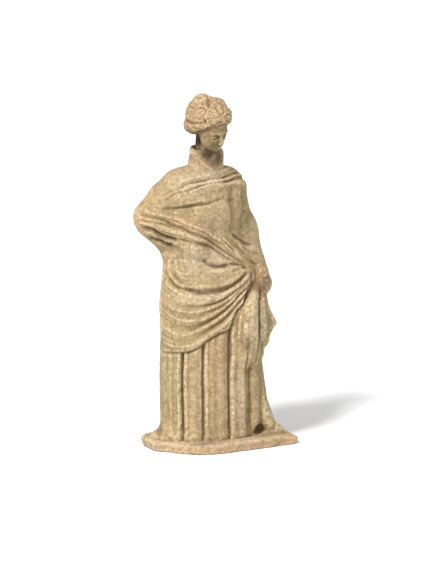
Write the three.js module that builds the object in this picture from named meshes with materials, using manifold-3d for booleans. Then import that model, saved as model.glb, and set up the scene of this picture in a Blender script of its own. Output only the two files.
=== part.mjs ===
// A terracotta figurine of the Tanagra kind: a standing woman wrapped in a mantle over a pleated
// dress, pressed and modelled as one piece of clay, on a thin hand-cut plaque of its own.
// Millimetres, +Z up, her front towards -Y and her left towards +X.
// The origin is the middle of the plaque's underside.
import * as THREE from "three";
import { mergeVertices } from "three/addons/utils/BufferGeometryUtils.js";
import Module from "manifold-3d";

const wasm = await Module();
wasm.setup();

// Driving sizes.
const FIGURE_HEIGHT = 194.4; // from the plaque's top to the top of her hair
const PLAQUE_THICKNESS = 5.6;
const PLAQUE_ROUNDING = 1.3; // of its worn edges
const SIDE_MARGIN = 4.4; // of the plaque, beside her skirt
const FRONT_MARGIN = 7.6;
const BACK_MARGIN = 1.6;
const FACETS = 8400; // that her surface is reduced to

// She is drawn at this height, standing on z = 0, and then scaled to FIGURE_HEIGHT.
const DRAWN_HEIGHT = 194.4;
const SCALE = FIGURE_HEIGHT / DRAWN_HEIGHT;
const SKIRT_BACK = 3; // how far the drawn skirt's middle lies behind the origin
const SKIRT_HALF_WIDTH = 34.8; // of the drawn skirt, where it meets the plaque
const SKIRT_HALF_DEPTH = 19.4;
const FINE_ABOVE = 160; // the drawn head keeps finer facets than the rest
const FINENESS = 8;

const { abs, atan2, cos, exp, hypot, max, min, PI, sin, sqrt } = Math;
const radians = THREE.MathUtils.degToRad;
const mix = THREE.MathUtils.lerp;
const ramp = THREE.MathUtils.smoothstep; // ramp(x, low, high)

// Points are arrays [x, y, z].
const add = (a, b) => [a[0] + b[0], a[1] + b[1], a[2] + b[2]];
const minus = (a, b) => [a[0] - b[0], a[1] - b[1], a[2] - b[2]];
const times = (a, s) => [a[0] * s, a[1] * s, a[2] * s];
const dot = (a, b) => a[0] * b[0] + a[1] * b[1] + a[2] * b[2];
const cross = (a, b) => [
  a[1] * b[2] - a[2] * b[1],
  a[2] * b[0] - a[0] * b[2],
  a[0] * b[1] - a[1] * b[0],
];
const unit = (a) => times(a, 1 / (hypot(a[0], a[1], a[2]) || 1));

// A smooth curve through rows of numbers, read at a value of each row's first number.
function along(rows, at) {
  let i = 0;
  while (i < rows.length - 2 && at > rows[i + 1][0]) i++;
  const before = rows[max(i - 1, 0)];
  const from = rows[i];
  const to = rows[i + 1];
  const after = rows[min(i + 2, rows.length - 1)];
  const span = to[0] - from[0];
  const t = min(max((at - from[0]) / span, 0), 1);
  return from.slice(1).map((value, k) => {
    const end = to[k + 1];
    const slopeIn = ((end - before[k + 1]) / (to[0] - before[0])) * span;
    const slopeOut = ((after[k + 1] - value) / (after[0] - from[0])) * span;
    const t2 = t * t;
    const t3 = t2 * t;
    return (
      (2 * t3 - 3 * t2 + 1) * value +
      (t3 - 2 * t2 + t) * slopeIn +
      (3 * t2 - 2 * t3) * end +
      (t3 - t2) * slopeOut
    );
  });
}

// Distances to simple solids, negative inside.
function melt(a, b, reach) {
  const h = max(reach - abs(a - b), 0) / reach;
  return min(a, b) - (h * h * reach) / 4;
}
function common(a, b, reach) {
  return -melt(-a, -b, reach);
}
function limb(p, from, to, radiusFrom, radiusTo) {
  const axis = minus(to, from);
  const offset = minus(p, from);
  const t = min(max(dot(offset, axis) / dot(axis, axis), 0), 1);
  const gap = minus(offset, times(axis, t));
  return hypot(gap[0], gap[1], gap[2]) - mix(radiusFrom, radiusTo, t);
}
function egg(p, centre, radii) {
  const q = minus(p, centre);
  const [a, b, c] = radii;
  const k0 = hypot(q[0] / a, q[1] / b, q[2] / c);
  const k1 = hypot(q[0] / a ** 2, q[1] / b ** 2, q[2] / c ** 2);
  return k1 > 0 ? (k0 * (k0 - 1)) / k1 : -min(a, b, c);
}
// A flat web of cloth over three points, twice as thick as its radius.
function web(p, a, b, c, radius) {
  const [ba, cb, ac] = [minus(b, a), minus(c, b), minus(a, c)];
  const [pa, pb, pc] = [minus(p, a), minus(p, b), minus(p, c)];
  const normal = cross(ba, ac);
  const over = (edge, offset) => dot(cross(edge, normal), offset) >= 0;
  const inside = over(ba, pa) && over(cb, pb) && over(ac, pc);
  const outside = !over(ba, pa) && !over(cb, pb) && !over(ac, pc);
  if (inside || outside) return abs(dot(normal, pa)) / hypot(...normal) - radius;
  return min(
    limb(p, a, b, radius, radius),
    limb(p, b, c, radius, radius),
    limb(p, c, a, radius, radius),
  );
}

// Her trunk and skirt: height, centre x and y, half width and half depth.
const TRUNK = [
  [-4, -0.6, SKIRT_BACK, SKIRT_HALF_WIDTH + 0.6, SKIRT_HALF_DEPTH + 0.2],
  [0, -0.8, SKIRT_BACK, SKIRT_HALF_WIDTH, SKIRT_HALF_DEPTH],
  [12, -1.6, 3, 33.4, 18.9],
  [38, -4.2, 3, 31.4, 18.6],
  [57, -4.5, 3, 30.2, 18],
  [78, -4.5, 3, 29, 17.2],
  [92, -5.2, 3, 26.8, 16],
  [104, -7, 3, 24, 14.2],
  [114, -8, 3, 20.5, 12.6],
  [128, -8, 3, 20.5, 13],
  [139, -8, 3.4, 18.5, 11.5],
  [146, -8, 3.6, 13, 10],
  [152, -8, 3.8, 8, 8],
];
const NAPE = 154; // where the trunk ends under the collar
const RIGHT_SHOULDER = [-22.5, 4.5, 140.5];
const RIGHT_ELBOW = [-36.2, 12.5, 124];
const RIGHT_HAND = [-20, -6, 112.5];
const LEFT_SHOULDER = [5.5, 3.5, 139.5];
const LEFT_ELBOW = [15.6, 6, 113];
const LEFT_HAND = [25.6, 0, 82.5];
const LEFT_HIP = [6, -1, 86];
const LEFT_KNEE = [10.5, -7, 50];
const LEFT_ANKLE = [16, -3, 2];

// Distance to the draped body before any fold is cut in it.
function bare(p) {
  const [cx, cy, a, b] = along(TRUNK, p[2]);
  const k0 = hypot((p[0] - cx) / a, (p[1] - cy) / b);
  const k1 = hypot((p[0] - cx) / a ** 2, (p[1] - cy) / b ** 2);
  let d = k1 > 0 ? (k0 * (k0 - 1)) / k1 : -b;
  d = common(d, p[2] - NAPE, 3);
  d = melt(d, limb(p, RIGHT_SHOULDER, LEFT_SHOULDER, 8, 8), 8);
  d = melt(d, limb(p, LEFT_SHOULDER, LEFT_ELBOW, 8.5, 8), 6);
  d = melt(d, limb(p, LEFT_ELBOW, LEFT_HAND, 8, 5.5), 6);
  d = melt(d, limb(p, LEFT_HIP, LEFT_KNEE, 12, 9.5), 6);
  d = melt(d, limb(p, LEFT_KNEE, LEFT_ANKLE, 9.5, 9), 6);
  d = melt(d, egg(p, [-15, -6, 129], [7, 4.6, 7]), 6);
  d = melt(d, egg(p, [-0.5, -6, 128.5], [7, 4.6, 7]), 6);
  let arm = limb(p, RIGHT_SHOULDER, RIGHT_ELBOW, 9.6, 7.6);
  arm = melt(arm, limb(p, [-29.5, 8.5, 134], RIGHT_ELBOW, 9.2, 7.6), 3);
  arm = melt(arm, limb(p, RIGHT_ELBOW, RIGHT_HAND, 7.6, 6.5), 4);
  arm = melt(arm, web(p, RIGHT_SHOULDER, RIGHT_ELBOW, RIGHT_HAND, 6), 4);
  arm = melt(arm, limb(p, [-31.5, 8, 116.5], [-26, 4, 108.5], 4, 5), 4);
  d = melt(d, arm, 6);
  // The mantle's end hangs from her left hand.
  d = melt(d, limb(p, [25.5, 0, 80], [24.5, 0, 50], 5, 3.5), 3);
  return melt(d, web(p, [26.5, 1.5, 76], [33, 1.5, 60.5], [27, 1.5, 43], 2.2), 2);
}
function facing(shape, p, step = 0.3) {
  return unit(
    [0, 1, 2].map((k) => {
      const [low, high] = [[...p], [...p]];
      low[k] -= step;
      high[k] += step;
      return shape(high) - shape(low);
    }),
  );
}

// A place on the body is a turn in degrees, 0 in front and growing to her left, and a rise.
// Up to SHOULDER_RISE the rise is a height. Above it, it adds the steepness in degrees of a ray
// that fans out from the middle of the chest.
const FLOOR = -3;
const SHOULDER_RISE = 126;
const TOP_RISE = SHOULDER_RISE + 90;
function ray(turn, rise) {
  const [cx, cy] = along(TRUNK, min(rise, SHOULDER_RISE));
  const lift = radians(max(rise - SHOULDER_RISE, 0));
  const [s, c] = [sin(radians(turn)), cos(radians(turn))];
  return {
    from: [cx, cy, min(rise, SHOULDER_RISE)],
    aim: [s * cos(lift), -c * cos(lift), sin(lift)],
  };
}
function meet(shape, { from, aim }, far) {
  let reach = far;
  for (let step = 0; step < 70; step++) {
    const gap = shape(add(from, times(aim, reach)));
    if (gap < 0.004) break;
    reach -= gap * 0.8;
  }
  return add(from, times(aim, reach));
}
const skinPoint = (turn, rise) => meet(bare, ray(turn, rise), 62);

// A groove in the cloth: a few places [turn, rise] joined by a smooth curve over the body.
const STEPS = 80;
function groove(...places) {
  const [first, last] = [places[0][0], places[places.length - 1][0]];
  const points = Array.from({ length: STEPS + 1 }, (_, i) => {
    const turn = mix(first, last, i / STEPS);
    return skinPoint(turn, along(places, turn)[0]);
  });
  return { places, first, last, points };
}
const near = (turn, middle) => turn - 360 * Math.round((turn - middle) / 360);
function gapTo({ first, last, points }, p, turn) {
  const beside = Math.round((STEPS * (turn - first)) / (last - first));
  const [from, to] = [beside - 12, beside + 12].map((i) => min(max(i, 1), STEPS));
  let best = Infinity;
  for (let i = from; i <= to; i++) {
    const [a, b] = [points[i - 1], points[i]];
    const edge = minus(b, a);
    const offset = minus(p, a);
    const t = min(max(dot(offset, edge) / dot(edge, edge), 0), 1);
    const gap = minus(offset, times(edge, t));
    best = min(best, dot(gap, gap));
  }
  return sqrt(best);
}

// Folds lie between neighbouring grooves, listed from the top down. Each swells to a crest that
// leans towards its lower groove, as hanging cloth does, and is as high as its width allows.
function swell(across, lean) {
  const even = across < lean ? (0.5 * across) / lean : 1 - (0.5 * (1 - across)) / (1 - lean);
  return sin(PI * even);
}
function folds({ from, to, fade, lean, share, most }, ...grooves) {
  return (p, turn, rise) => {
    const at = near(turn, (from + to) / 2);
    const hold = ramp(at, from - fade, from) * (1 - ramp(at, to, to + fade));
    if (hold === 0) return 0;
    const below = grooves.findIndex((g) => rise > along(g.places, at)[0]);
    if (below === 0 || below === -1) {
      const edge = grooves.at(below === 0 ? 0 : -1);
      return -0.55 * hold * min(most, 2) * exp(-((gapTo(edge, p, at) / 1.5) ** 2));
    }
    const [upper, lower] = [grooves[below - 1], grooves[below]].map((g) => gapTo(g, p, at));
    const width = upper + lower;
    return hold * min(share * width, most) * (swell(upper / width, lean) - 0.55);
  };
}
// One crease, or a ridge where the depth is negative.
function crease(line, depth, width, fade = 8) {
  return (p, turn) => {
    const at = near(turn, (line.first + line.last) / 2);
    const hold = ramp(at, line.first - fade, line.first) * (1 - ramp(at, line.last, line.last + fade));
    return hold > 0 ? -depth * hold * exp(-((gapTo(line, p, at) / width) ** 2)) : 0;
  };
}

// The mantle's hem runs from her back round her right side and up to her left hand, and on behind
// the hanging end. It stands proud of the dress.
const HEM_PROUD = 1.8;
const HEM = groove(
  [-190, 49],
  [-84, 50],
  [-59, 50],
  [-29, 57],
  [8, 65],
  [18, 72],
  [33, 79],
  [52, 86],
  [66, 76],
  [80, 56],
  [100, 50],
  [170, 49],
);

// Across her chest, from the right elbow up to the left shoulder.
const CHEST = folds(
  { from: -92, to: 66, fade: 30, lean: 0.45, share: 0.36, most: 1.6 },
  groove([-110, 170], [-80, 172], [-42, 192], [10, 198], [70, 193], [126, 186]),
  groove([-110, 145], [-72, 161], [-48, 180], [5, 188], [64, 181], [126, 160]),
  groove([-110, 139], [-67, 157], [-36, 178], [10, 183], [72, 170], [126, 148]),
  groove([-110, 136], [-74, 148], [-44, 168], [0, 175], [45, 172], [72, 160], [126, 138]),
);
// The thick roll round the waist, from the right elbow down to the left hand.
const WAIST_ROLL = folds(
  { from: -96, to: 52, fade: 10, lean: 0.6, share: 0.42, most: 2.6 },
  groove([-106, 131], [-66, 130], [-44, 126], [-20, 121.5], [8, 116.5], [50, 106], [62, 100]),
  groove([-106, 128], [-62, 119], [-30, 113.5], [-6, 109.5], [14, 104.5], [48, 92.5], [62, 90]),
);
// Loops over the hips, hung between her right side and her left hand. Each has a lowest place.
const LOOPS_FROM = -116;
const LOOPS_TO = [58, 89.5];
function loop(sideRise, lowTurn, lowRise) {
  return groove(
    [LOOPS_FROM, sideRise],
    [mix(LOOPS_FROM, lowTurn, 0.55), mix(sideRise, lowRise, 0.62)],
    [lowTurn, lowRise],
    [mix(lowTurn, LOOPS_TO[0], 0.5), mix(lowRise, LOOPS_TO[1], 0.42)],
    LOOPS_TO,
  );
}
const HIP = folds(
  { from: -104, to: 46, fade: 12, lean: 0.66, share: 0.34, most: 2.5 },
  groove([LOOPS_FROM, 103], [-73, 110.5], [-41, 112.5], [-19, 110], [0, 106], [22, 100], [58, 90.5]),
  loop(113, -5, 98),
  loop(108, -15, 83),
  loop(104, -45, 75.5),
  loop(98, -54, 69.5),
  loop(86, -60, 59.5),
);
// Plain, shallow folds at the back, from the right hip up to the left shoulder.
const BACK = folds(
  { from: 118, to: 226, fade: 18, lean: 0.6, share: 0.13, most: 1.8 },
  groove([100, 168], [130, 150], [165, 133], [200, 125], [244, 122]),
  groove([100, 146], [130, 134], [165, 118], [200, 108], [244, 104]),
  groove([100, 128], [130, 118], [165, 103], [200, 92], [244, 88]),
  groove([100, 106], [130, 98], [165, 86], [200, 76], [244, 72]),
  groove([100, 84], [130, 78], [165, 70], [200, 62], [244, 58]),
);
const CREASES = [
  crease(groove([-14, 117.5], [6, 113.5], [28, 108.5], [44, 103.5], [56, 98]), 1.4, 1.5),
  crease(groove([56, 118], [62, 113], [70, 108.5], [80, 105]), 1.2, 1.8),
  crease(groove([54, 106], [66, 101], [71, 95], [75, 91]), 1.5, 1.8),
  crease(groove([-103, 121], [-88, 115.5], [-78, 112.5], [-58, 113]), 1.9, 2),
  crease(groove([-100, 115], [-88, 111], [-76, 109.5]), 1.2, 1.6),
  crease(groove([-97, 135], [-69, 142], [-46, 149], [-25, 153], [-4, 158], [14, 165]), 1.5, 2),
  crease(groove([-58, 130], [-45, 138], [-28, 143]), 1.5, 4.5),
];

// The dress falls in flutes between upright valleys, given as turns at three heights.
const VALLEY_HEIGHTS = [78, 43, 9];
const VALLEYS = [
  [-86, -87, -89],
  [-70, -71, -73.5],
  [-61, -63, -66],
  [-34, -37, -43],
  [-12, -15, -24],
  [31, 9, -1],
  [44, 32, 28],
  [52, 42, 40],
  [58, 52, 49],
  [68, 66, 64],
];
for (let turn = 84; turn < 265; turn += 18.2) VALLEYS.push([turn, turn - 1, turn - 3]);
function valleyTurn([top, middle, foot], z) {
  const [topZ, middleZ, footZ] = VALLEY_HEIGHTS;
  const up = (z - middleZ) / (topZ - middleZ);
  return up > 0 ? mix(middle, top, min(up, 1)) : mix(foot, middle, (z - footZ) / (middleZ - footZ));
}
function flutes(p, turn, z) {
  const turns = VALLEYS.map((valley) => valleyTurn(valley, z));
  const at = turn < turns[0] ? turn + 360 : turn;
  turns.push(turns[0] + 360);
  const next = turns.findIndex((valley) => valley > at);
  const [from, to] = [turns[next - 1], turns[next]];
  const [cx, cy] = along(TRUNK, z);
  const width = radians(to - from) * hypot(p[0] - cx, p[1] - cy);
  const plainer = 1 - 0.45 * ramp(abs(turn), 95, 130); // towards her back
  return min(0.34 * width, 3.4) * plainer * (swell((at - from) / (to - from), 0.5) - 0.6);
}

// How far the cloth stands off the bare body, and where. It lies smooth under the collar.
const SMOOTH_RISES = [SHOULDER_RISE + 66, SHOULDER_RISE + 78];
function relief(p, turn, rise) {
  const at = near(turn, -10);
  const edge = gapTo(HEM, p, at);
  if (rise < along(HEM.places, at)[0]) {
    return flutes(p, turn, rise) * ramp(edge, -1, 2) - HEM_PROUD / 2;
  }
  let height = HEM_PROUD * (ramp(edge, -0.4, 1.2) - 0.5);
  for (const cloth of [CHEST, WAIST_ROLL, HIP, BACK, ...CREASES]) height += cloth(p, turn, rise);
  return height * (1 - ramp(rise, ...SMOOTH_RISES));
}

// The body's skin: a tube of rings, with the spokes of each ring evenly spaced along it.
const RINGS = 165;
const SPOKES = 200;
const PROBES = 180;
const LEVEL_SHARE = 0.8; // of the rings, below SHOULDER_RISE
function riseOf(ring) {
  const share = ring / RINGS;
  return share < LEVEL_SHARE
    ? mix(FLOOR, SHOULDER_RISE, share / LEVEL_SHARE)
    : mix(SHOULDER_RISE, TOP_RISE, (share - LEVEL_SHARE) / (1 - LEVEL_SHARE));
}
function ringPoints(rise) {
  const turns = Array.from({ length: PROBES + 1 }, (_, i) => 360 * (i / PROBES) - 180);
  const probes = turns.map((turn) => skinPoint(turn, rise));
  const run = [0];
  for (let i = 1; i <= PROBES; i++) {
    run.push(run[i - 1] + hypot(...minus(probes[i], probes[i - 1])) + 1e-6);
  }
  const turnAt = (share) => {
    // Half of the spokes go each side of her front, so that the rings don't twist.
    const [low, high] = share < 0.5 ? [0, PROBES / 2] : [PROBES / 2, PROBES];
    const goal = mix(run[low], run[high], (share * 2) % 1);
    let i = low;
    while (i < high - 1 && run[i + 1] < goal) i++;
    return turns[i] + (360 / PROBES) * ((goal - run[i]) / (run[i + 1] - run[i]));
  };
  return Array.from({ length: SPOKES }, (_, i) => {
    const turn = turnAt(i / SPOKES);
    const p = skinPoint(turn, rise);
    return add(p, times(facing(bare, p), relief(p, turn, rise)));
  });
}
function bodyGeometry() {
  const rings = Array.from({ length: RINGS + 1 }, (_, j) => ringPoints(riseOf(j)));
  const tube = new THREE.CylinderGeometry(1, 1, 1, SPOKES, RINGS);
  const place = tube.getAttribute("position");
  const floorCentre = [...along(TRUNK, FLOOR).slice(0, 2), FLOOR];
  for (let i = 0; i < place.count; i++) {
    const [x, y, z] = [place.getX(i), place.getY(i), place.getZ(i)];
    const j = Math.round((y + 0.5) * RINGS);
    const k = Math.round((atan2(x, z) / (2 * PI) + 1.5) * SPOKES) % SPOKES;
    const middle = hypot(x, z) < 0.5;
    place.setXYZ(i, ...(middle && j === 0 ? floorCentre : middle ? rings[j][0] : rings[j][k]));
  }
  return tube;
}

// Her head, in a frame of its own: the origin is the middle of the skull, she looks towards -Y.
const HEAD_CENTRE = [-6.7, -0.8, 176.8];
const HEAD_TURN = 27; // degrees, to her left
const HEAD_BOW = 17; // degrees, downwards
function face(q) {
  const m = [abs(q[0]), q[1], q[2]];
  let d = egg(q, [0, 0.8, 2.4], [9.2, 10.8, 9.4]);
  d = melt(d, egg(q, [0, -3.8, -4.4], [7.2, 6.8, 9.2]), 3);
  d = melt(d, egg(q, [0, -7, -11.6], [3.2, 3, 2.5]), 3);
  d = melt(d, limb(m, [0.8, -10.4, -1.2], [5, -8.4, -1.6], 1, 0.7), 2);
  d = common(d, -egg(m, [3.4, -11.2, -3.3], [2.3, 1.7, 1.5]), 1);
  d = melt(d, egg(m, [3.3, -8.7, -3.5], [2, 1.5, 1]), 0.5);
  d = melt(d, limb(q, [0, -10.2, -1.2], [0, -12.1, -6.2], 0.9, 1.2), 1.6);
  d = melt(d, egg(q, [0, -10.6, -8.7], [2.3, 1.1, 0.7]), 0.7);
  d = melt(d, egg(q, [0, -10.1, -10.2], [1.9, 1.1, 0.8]), 0.7);
  // The throat.
  return melt(d, limb(q, [0, -1.5, -6], [0, -0.5, -14], 5.2, 5.2), 2);
}
// Waved hair, drawn back over the ears to a knot on the crown and a bun at the nape.
function hair(q) {
  const [x, y, z] = q;
  let d = egg(q, [0, 1.6, 2.8], [11.6, 12, 10.8]);
  d = melt(d, egg(q, [0, 6, 4.5], [9, 8.4, 8.4]), 3);
  d = melt(d, egg(q, [0, -5, 7.4], [9, 6.4, 5.2]), 4);
  const behind = ramp(y, -2, 5);
  d = max(d, -(y * 0.5 + z * 0.86 + mix(1.8, 8.6, behind)));
  const round = atan2(x, z + 4);
  d += (0.4 * cos(round * 11) + 0.25 * cos(y * 1.5 + abs(round) * 3)) * ramp(y, 12, 6);
  d = melt(d, egg(q, [-0.4, 8.6, 10.6], [4.2, 4.2, 4.6]), 2);
  d = melt(d, egg(q, [2.4, 0.6, 12.4], [4.4, 4.6, 3]), 2);
  return melt(d, egg(q, [0, 9.4, -4.4], [7, 5.4, 6.4]), 3);
}
const headShape = (q) => melt(face(q), hair(q), 0.9);
function headGeometry() {
  const ball = new THREE.SphereGeometry(1, 110, 80);
  ball.rotateX(PI / 2);
  const place = ball.getAttribute("position");
  for (let i = 0; i < place.count; i++) {
    const aim = unit([place.getX(i), place.getY(i), place.getZ(i)]);
    place.setXYZ(i, ...meet(headShape, { from: [0, 0, 0], aim }, 22));
  }
  ball.rotateX(radians(HEAD_BOW));
  ball.rotateZ(radians(HEAD_TURN));
  ball.translate(...HEAD_CENTRE);
  return ball;
}

// Her neck rises from the mantle's thick collar, which stands up behind and dips in front:
// radius and height, from the axis outwards.
const COLLAR_CENTRE = [-8.2, 1.6];
const COLLAR_DIP = 8.5;
const NECK_LEAN = [1.8, -1.4]; // from the collar to the head
function neckGeometry() {
  const outline = [
    [0, 138],
    [10.4, 139],
    [10.8, 146],
    [10.7, 150.5],
    [10, 154],
    [10.2, 158],
    [9.8, 161.5],
    [8.7, 163],
    [7.5, 162],
    [6.6, 158.5],
    [6.1, 163],
    [6.1, 168],
    [6.4, 172],
    [0, 174],
  ].map(([r, z]) => new THREE.Vector2(r, z));
  const stem = new THREE.LatheGeometry(outline, 56);
  stem.rotateX(PI / 2);
  const place = stem.getAttribute("position");
  for (let i = 0; i < place.count; i++) {
    const [x, y, z] = [place.getX(i), place.getY(i), place.getZ(i)];
    const turn = atan2(x, -y);
    const cloth = ramp(hypot(x, y), 6.2, 7.6) * ramp(z, 146, 151);
    const neck = ramp(z, 150, 172) * (1 - cloth);
    const fold = 1 + cloth * (0.04 * cos(1.1 * z + 1.4 * turn) + 0.03 * sin(4 * turn));
    const dip = COLLAR_DIP * cloth * ramp(z, 147, 162) * exp(-((turn / 0.95) ** 2));
    place.setXYZ(
      i,
      COLLAR_CENTRE[0] + x * fold + NECK_LEAN[0] * neck,
      COLLAR_CENTRE[1] + y * 0.94 * fold + NECK_LEAN[1] * neck - 0.12 * dip,
      z - dip,
    );
  }
  return stem;
}

// The toes of her left foot show at the hem.
function footGeometry() {
  const foot = new THREE.SphereGeometry(1, 28, 18);
  const place = foot.getAttribute("position");
  for (let i = 0; i < place.count; i++) {
    const [x, y, z] = [place.getX(i), place.getY(i), place.getZ(i)];
    const tip = ramp(x, -0.6, 1);
    place.setXYZ(i, 11 * x, 4.8 * y * (1 - 0.25 * tip), z * (6 - 3.6 * tip));
  }
  foot.rotateZ(radians(-24));
  foot.translate(24.8, -9.6, 1);
  return foot;
}

function solid(geometry) {
  const plain = geometry.clone();
  plain.deleteAttribute("normal");
  plain.deleteAttribute("uv");
  const merged = mergeVertices(plain, 1e-4);
  const mesh = new wasm.Mesh({
    numProp: 3,
    vertProperties: new Float32Array(merged.getAttribute("position").array),
    triVerts: new Uint32Array(merged.index.array),
  });
  return new wasm.Manifold(mesh);
}

function womanSolid() {
  const under = new THREE.BoxGeometry(160, 120, 20);
  under.translate(0, 0, -10);
  return solid(bodyGeometry())
    .add(solid(neckGeometry()))
    .add(solid(headGeometry()))
    .add(solid(footGeometry()))
    .subtract(solid(under));
}

const SPECK = 0.05; // an edge shorter than this always goes

// Fewer, larger triangles where the surface is plain: edges are collapsed in the order of how
// little they move the surface, while it stays closed and no triangle turns over.
function reduced(points, corners, goal) {
  const at = Array.from({ length: points.length / 3 }, (_, i) => [...points.slice(3 * i, 3 * i + 3)]);
  const faces = Array.from({ length: corners.length / 3 }, (_, i) => [
    ...corners.slice(3 * i, 3 * i + 3),
  ]);
  const around = at.map(() => new Set());
  const error = at.map(() => new Float64Array(10));
  faces.forEach((face, f) => {
    const [a, b, c] = face.map((v) => at[v]);
    const span = cross(minus(b, a), minus(c, a));
    const area = (hypot(...span) / 2) * (a[2] > FINE_ABOVE ? FINENESS : 1);
    const n = unit(span);
    const d = -dot(n, a);
    const plane = [...n, d];
    for (const v of face) {
      around[v].add(f);
      let k = 0;
      for (let i = 0; i < 4; i++) {
        for (let j = i; j < 4; j++) error[v][k++] += area * plane[i] * plane[j];
      }
    }
  });
  const cost = (q, [x, y, z]) =>
    q[0] * x * x +
    2 * q[1] * x * y +
    2 * q[2] * x * z +
    2 * q[3] * x +
    q[4] * y * y +
    2 * q[5] * y * z +
    2 * q[6] * y +
    q[7] * z * z +
    2 * q[8] * z +
    q[9];
  const sum = (p, q) => p.map((value, i) => value + q[i]);
  // The place with the least error, or the best of the ends and the middle.
  const best = (a, b) => {
    const q = sum(error[a], error[b]);
    const [xx, xy, xz, x, yy, yz, y, zz, z] = q;
    const det = xx * (yy * zz - yz * yz) - xy * (xy * zz - yz * xz) + xz * (xy * yz - yy * xz);
    const choices = [at[a], at[b], times(add(at[a], at[b]), 0.5)];
    const reach = hypot(...minus(at[a], at[b]));
    if (abs(det) > 1e-3 * (xx + yy + zz) ** 3 * 1e-2) {
      const p = [
        -(x * (yy * zz - yz * yz) - xy * (y * zz - yz * z) + xz * (y * yz - yy * z)) / det,
        -(xx * (y * zz - yz * z) - x * (xy * zz - yz * xz) + xz * (xy * z - y * xz)) / det,
        -(xx * (yy * z - y * yz) - xy * (xy * z - y * xz) + x * (xy * yz - yy * xz)) / det,
      ];
      if (hypot(...minus(p, choices[2])) < reach) choices.push(p);
    }
    const rated = choices.map((p) => [cost(q, p), p]).sort((m, n) => m[0] - n[0]);
    return { price: rated[0][0] + 1e-5 * reach * reach, place: rated[0][1] };
  };
  const round = (v) => {
    const near = new Set();
    for (const f of around[v]) for (const w of faces[f]) if (w !== v) near.add(w);
    return near;
  };

  // A heap of edges. One that has changed since it was put in is passed over.
  const stamp = new Int32Array(at.length);
  const heap = [];
  const swap = (i, j) => ([heap[i], heap[j]] = [heap[j], heap[i]]);
  const push = (a, b) => {
    const { price, place } = best(a, b);
    heap.push({ price, place, a, b, mark: stamp[a] + stamp[b] });
    let i = heap.length - 1;
    while (i > 0 && heap[(i - 1) >> 1].price > heap[i].price) {
      swap(i, (i - 1) >> 1);
      i = (i - 1) >> 1;
    }
  };
  const pop = () => {
    const top = heap[0];
    const last = heap.pop();
    if (heap.length === 0) return top;
    heap[0] = last;
    let i = 0;
    for (;;) {
      let least = i;
      for (const child of [2 * i + 1, 2 * i + 2]) {
        if (child < heap.length && heap[child].price < heap[least].price) least = child;
      }
      if (least === i) return top;
      swap(i, least);
      i = least;
    }
  };
  for (const [a, b, c] of faces) {
    if (a < b) push(a, b);
    if (b < c) push(b, c);
    if (c < a) push(c, a);
  }

  let left = faces.length;
  while (left > goal && heap.length > 0) {
    const { a, b, place, mark } = pop();
    if (around[a].size === 0 || around[b].size === 0 || mark !== stamp[a] + stamp[b]) continue;
    const shared = [...around[a]].filter((f) => around[b].has(f));
    const nearB = round(b);
    const common = [...round(a)].filter((v) => nearB.has(v));
    if (shared.length !== 2 || common.length !== 2) continue;
    const turns = (v) =>
      [...around[v]].some((f) => {
        if (shared.includes(f)) return false;
        const before = faces[f].map((w) => at[w]);
        const after = faces[f].map((w) => (w === v ? place : at[w]));
        const [n0, n1] = [before, after].map(([p, q, r]) => cross(minus(q, p), minus(r, p)));
        const longest = max(...after.map((p, i) => hypot(...minus(p, after[(i + 1) % 3]))));
        const thin = hypot(...n1) < 0.06 * longest * longest;
        return thin || dot(unit(n0), unit(n1)) < 0.35;
      });
    if (hypot(...minus(at[a], at[b])) > SPECK && (turns(a) || turns(b))) continue;
    at[a] = place;
    error[a] = Float64Array.from(sum(error[a], error[b]));
    for (const f of shared) for (const v of faces[f]) around[v].delete(f);
    for (const f of around[b]) {
      faces[f] = faces[f].map((v) => (v === b ? a : v));
      around[a].add(f);
    }
    for (const f of shared) faces[f] = null;
    around[b].clear();
    left -= 2;
    stamp[a] += 1;
    for (const v of round(a)) push(a, v);
  }
  const kept = faces.filter(Boolean);
  const used = [...new Set(kept.flat())];
  const place = new Map(used.map((v, i) => [v, i]));
  const geometry = new THREE.BufferGeometry();
  geometry.setAttribute("position", new THREE.Float32BufferAttribute(used.flatMap((v) => at[v]), 3));
  geometry.setIndex(kept.flat().map((v) => place.get(v)));
  return geometry;
}

function womanGeometry() {
  const { vertProperties, triVerts } = womanSolid().getMesh();
  const geometry = reduced(vertProperties, triVerts, FACETS);
  geometry.computeVertexNormals();
  return geometry;
}

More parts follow.
